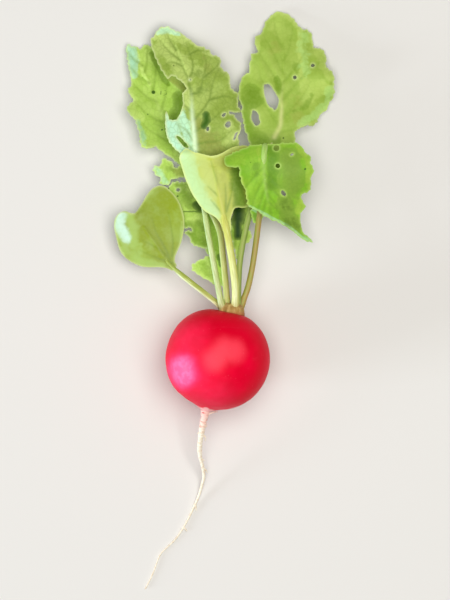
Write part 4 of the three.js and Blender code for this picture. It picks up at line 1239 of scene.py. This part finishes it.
def makeLeaf(name, leaf, smooth):
    bladeSkin = bladeFinish(name + "Blade", leaf["greens"], leaf["veinDepth"], smooth)
    seed, wobble = leaf["seed"], leaf["wobble"]
    parts = [curledBlade(name, leaf["blade"], leaf, leaf["rib"], seed, wobble)]
    if "leaflets" in leaf:
        wobble = sheet["leafletWobble"] * wobble
        shape = leaf["leaflets"]
        parts.append(curledBlade(name + "Leaflets", shape, leaf, None, seed + 50, wobble))
    for part in parts:
        part.data.materials.clear()
        part.data.materials.append(bladeSkin)
    ribLine = ribPoints(leaf["blade"], leaf["rib"], leaf.get("ribSunk", sheet["ribSunk"]))
    lengths = [pathLength(line) for line in (leaf["stalk"], leaf["stalk"][-1:] + ribLine)]
    bladeStart = lengths[0] / sum(lengths)
    profile = petiole(bladeStart, leaf.get("flattened", 0))
    line = leaf["stalk"] + ribLine
    stalk = sweptStem(name + "Stalk", line, stemMesh["stalkSides"], stemMesh["stalkStep"], profile)
    stalk.data.materials.append(
        stalkFinish(name + "Stalk", leaf["stalkColours"], leaf["greens"], bladeStart)
    )
    finishPiece(joined(name, parts + [stalk]), leaf["node"])


makeLeaf("lowLeftLeaf", lowLeftLeaf, False)
makeLeaf("upperLeftLeaf", upperLeftLeaf, False)
makeLeaf("upperRightLeaf", upperRightLeaf, False)
makeLeaf("rightLeaf", rightLeaf, False)
makeLeaf("middleSeedLeaf", middleSeedLeaf, True)
makeLeaf("leftSeedLeaf", leftSeedLeaf, True)


# bulb

bulbMarks = {
    # glow: painted highlight of the overhead light
    "glow": ([[214, 360], [224, 349], [234, 351]], 12.5),
    # painted highlight where the low window light strikes the skin
    "paintedHighlight": ([[182, 368], [184, 374]], 15),
    # painted sheen on the side lit by the window light
    "paintedSheen": ([[188, 340], [188, 372], [200, 390], [214, 398]], 20),
    "fadeLow": 4, "fadeHigh": 14, "collarRadius": 4.6, "collarWidth": 0.9, "neckWidth": 3.0,
}
tongue = {
    "path": [[206.3, 407.6], [205.6, 411]], "width": 4, "strength": 0.8, "rise": (16, 18),
    "fall": (18.5, 22.5),
}


def makeBulb():
    bm = bmesh.new()
    bmesh.ops.create_uvsphere(bm, u_segments=bulb["around"], v_segments=bulb["rings"], radius=1)
    bmesh.ops.rotate(bm, matrix=Matrix.Rotation(math.pi / 2, 3, "X"), verts=bm.verts[:])
    made = objectFrom("bulbRoot", bm)
    spots = readSpots(made.data)
    turn = np.arccos(np.clip(-spots[:, 1], -1, 1))  # from the root end to the crown
    shoulder = 1 + 0.012 * (1 - np.cos(4 * turn)) - 0.02 * np.cos(turn)
    radius = bulb["width"] / 2 * shoulder
    stretch = np.column_stack([radius, radius * bulb["length"] / bulb["width"], radius])
    lumps = lumpField(spots, 0.7, 4) + 0.35 * lumpField(spots, 0.25, 5)
    spots = spots * stretch * (1 + bulb["lumps"] / bulb["lumpRadius"] * lumps)[:, None]
    aside = np.hypot(spots[:, 0], spots[:, 2])
    top = spots[:, 1] > 0
    dimple = bulb["dimpleDepth"] * bell(aside, bulb["dimpleWidth"])
    funnel = bulb["funnelDepth"] * bell(aside, bulb["funnelWidth"])
    spots[:, 1] -= np.where(top, dimple, 0)
    spots[:, 1] -= np.where(top, 0, funnel)
    lean = math.radians(bulb["tilt"])
    x = spots[:, 0] * math.cos(lean) - spots[:, 1] * math.sin(lean)
    y = spots[:, 0] * math.sin(lean) + spots[:, 1] * math.cos(lean)
    z = np.maximum(spots[:, 2] + bulb["centreHeight"], 0)
    placed = np.column_stack([x, y, z]) * mm
    writeSpots(made.data, placed)
    marks = bulbMarks
    atX, atY, height = placed.T
    above = smoothStep(marks["fadeLow"] * mm, marks["fadeHigh"] * mm, height)
    # marks for the painted highlights and the painted sheen
    for name in ("glow", "paintedHighlight", "paintedSheen"):
        mark(made.data, name, above * softPatch(atX, atY, *marks[name]))
    # painted shade: darker towards the right and the lower side, away from the light
    mark(made.data, "deep", smoothStep(2, 15, x) * smoothStep(-16, 6, -y) * 0.2)
    mark(made.data, "collar", bell(aside - marks["collarRadius"], marks["collarWidth"]) * top)
    neck = (1 - top) * bell(aside, marks["neckWidth"])
    away, _ = nearPath(atX, atY, planPath(tongue["path"]))
    rise, fall = tongue["rise"], tongue["fall"]
    pale = tongue["strength"] * bell(away, tongue["width"] * unit)
    pale *= smoothStep(rise[0] * mm, rise[1] * mm, height)
    pale *= 1 - smoothStep(fall[0] * mm, fall[1] * mm, height)
    mark(made.data, "pale", np.maximum(neck, pale))
    made.data.materials.append(skinFinish())
    finishPiece(made, "bulb")


makeBulb()


# crown

crown = {
    "x": 231, "y": 314.6, "radius": 4.4, "height": 3.6, "sunk": 0.4, "rows": 34, "around": 72,
    "scars": 7, "scarDepth": 0.16, "fibreDepth": 0.3, "grain": 1.1,
}


def makeCrown():
    seatHeight = (bulb["centreHeight"] - crown["sunk"]) * mm
    seat = Vector((planX(crown["x"]), planY(crown["y"]), seatHeight))
    reach, tall = crown["radius"], crown["height"]
    profile = [
        (0, -0.3), (reach * 0.9, -0.3), (reach, 0.5), (reach * 0.96, tall * 0.4),
        (reach * 0.84, tall * 0.75), (reach * 0.6, tall), (0, tall + 0.1),
    ]
    line = curveAt(profile, np.linspace(0, len(profile) - 1, crown["rows"]))
    line[0][0] = line[-1][0] = 0
    bm = bmesh.new()
    verts = [bm.verts.new((max(r, 0) * mm, h * mm, 0)) for r, h in line]
    edges = [bm.edges.new(pair) for pair in zip(verts, verts[1:])]
    bmesh.ops.spin(
        bm, geom=verts + edges, cent=(0, 0, 0), axis=(0, 1, 0), angle=2 * math.pi,
        steps=crown["around"], use_merge=True,
    )
    bmesh.ops.remove_doubles(bm, verts=bm.verts[:], dist=weldDistance)
    bmesh.ops.recalc_face_normals(bm, faces=bm.faces[:])
    for vert in bm.verts:
        aside = Vector((vert.co.x, 0, vert.co.z))
        turn = math.atan2(vert.co.z, vert.co.x)
        grain = Vector((vert.co.x, vert.co.y * 0.35, vert.co.z)) / (crown["grain"] * mm)
        ridge = crown["scarDepth"] * math.cos(crown["scars"] * turn)
        ridge += crown["fibreDepth"] * noise.noise(grain)
        if aside.length > 0:
            vert.co += aside.normalized() * ridge * mm * min(1, aside.length / (2 * mm))
    bmesh.ops.rotate(
        bm, matrix=Matrix.Rotation(math.radians(bulb["tilt"]) / 2, 3, "Z"), verts=bm.verts[:]
    )
    bmesh.ops.translate(bm, vec=seat, verts=bm.verts[:])
    base = [1 - smoothStep(0.2, 1.6, (vert.co.y - seat.y) / mm) for vert in bm.verts]
    made = objectFrom("crownKnob", bm)
    mark(made.data, "base", base)
    made.data.materials.append(crownFinish())
    finishPiece(made, "crown")


makeCrown()


# taproot

def wrinkled(along, turns, run):
    # rings and dents of a dried root, strongest at its neck
    rings = 0.05 * np.sin(run * 5.2 + 0.8 * np.sin(turns)) + 0.04 * np.sin(run * 2.3 + turns)
    tip = np.sqrt(np.clip((1 - along) / 0.004, 0.05, 1))
    return (1 + rings) * tip * (1 - 0.26 * smoothStep(0.3, 0.9, along))


rootNeck = {"start": 408, "end": 438, "rootletTint": 0.4}


def makeTaproot():
    stem, branch = stemMesh["rootSides"], stemMesh["rootletSides"]
    parts = [sweptStem("taproot", taproot, stem, stemMesh["rootStep"], wrinkled)]
    for k, rootlet in enumerate(rootlets):
        parts.append(sweptStem("rootlet%d" % k, rootlet, branch, stemMesh["rootletStep"], wrinkled))
    for k, part in enumerate(parts):
        spots = readSpots(part.data)
        neck = smoothStep(planY(rootNeck["end"]), planY(rootNeck["start"]), spots[:, 1])
        mark(part.data, "neck", neck * (rootNeck["rootletTint"] if k else 1))
    made = joined("taprootRoot", parts)
    made.data.materials.append(rootFinish())
    finishPiece(made, "taproot")


makeTaproot()


# stage

stage = {
    "cameraHeight": 3.0, "focusHeight": 0.013, "targetHeight": 0.01, "sensorWidth": 36,
    "floorSize": 4, "floorTone": (222, 220, 216), "sky": 0.16,
}
lights = {
    "overhead": {"at": (0.1, 0.05, 1.0), "size": 0.8, "power": 10.8, "tone": (1, 0.985, 0.95)},
    "window": {"at": (-1.0, -0.3, 0.2), "size": 0.32, "power": 8.5, "tone": (0.82, 0.9, 1)},
}


def makeStage():
    bm = bmesh.new()
    bmesh.ops.create_grid(bm, x_segments=1, y_segments=1, size=stage["floorSize"] / 2)
    floor = objectFrom("paleFloor", bm)
    paper = Finish("palePaper", {"paper": stage["floorTone"]}, {"Roughness": 0.85})
    floor.data.materials.append(paper.give())
    middle = planX(picture["width"] / 2), planY(picture["height"] / 2)
    target = Vector((*middle, stage["targetHeight"]))
    for name, light in lights.items():
        lamp = bpy.data.lights.new(name, "AREA")
        lamp.size, lamp.energy, lamp.color = light["size"], light["power"], light["tone"]
        made = newObject(name, lamp)
        made.location = light["at"]
        made.rotation_euler = (target - made.location).to_track_quat("-Z", "Y").to_euler()
    world = bpy.data.worlds.new("softSky")
    world.use_nodes = True
    backdrop = world.node_tree.nodes["Background"].inputs
    backdrop["Color"].default_value = (1, 1, 1, 1)
    backdrop["Strength"].default_value = stage["sky"]
    bpy.context.scene.world = world
    bpy.context.scene.view_settings.view_transform = "Standard"
    lens = bpy.data.cameras.new("camera")
    lens.sensor_width = stage["sensorWidth"]
    frameHeight = picture["height"] * unit
    lens.lens = lens.sensor_width * (stage["cameraHeight"] - stage["focusHeight"]) / frameHeight
    camera = newObject("camera", lens)
    camera.location = (target.x, target.y, stage["cameraHeight"])
    bpy.context.scene.camera = camera
    print("stage, lights and camera made")


makeStage()
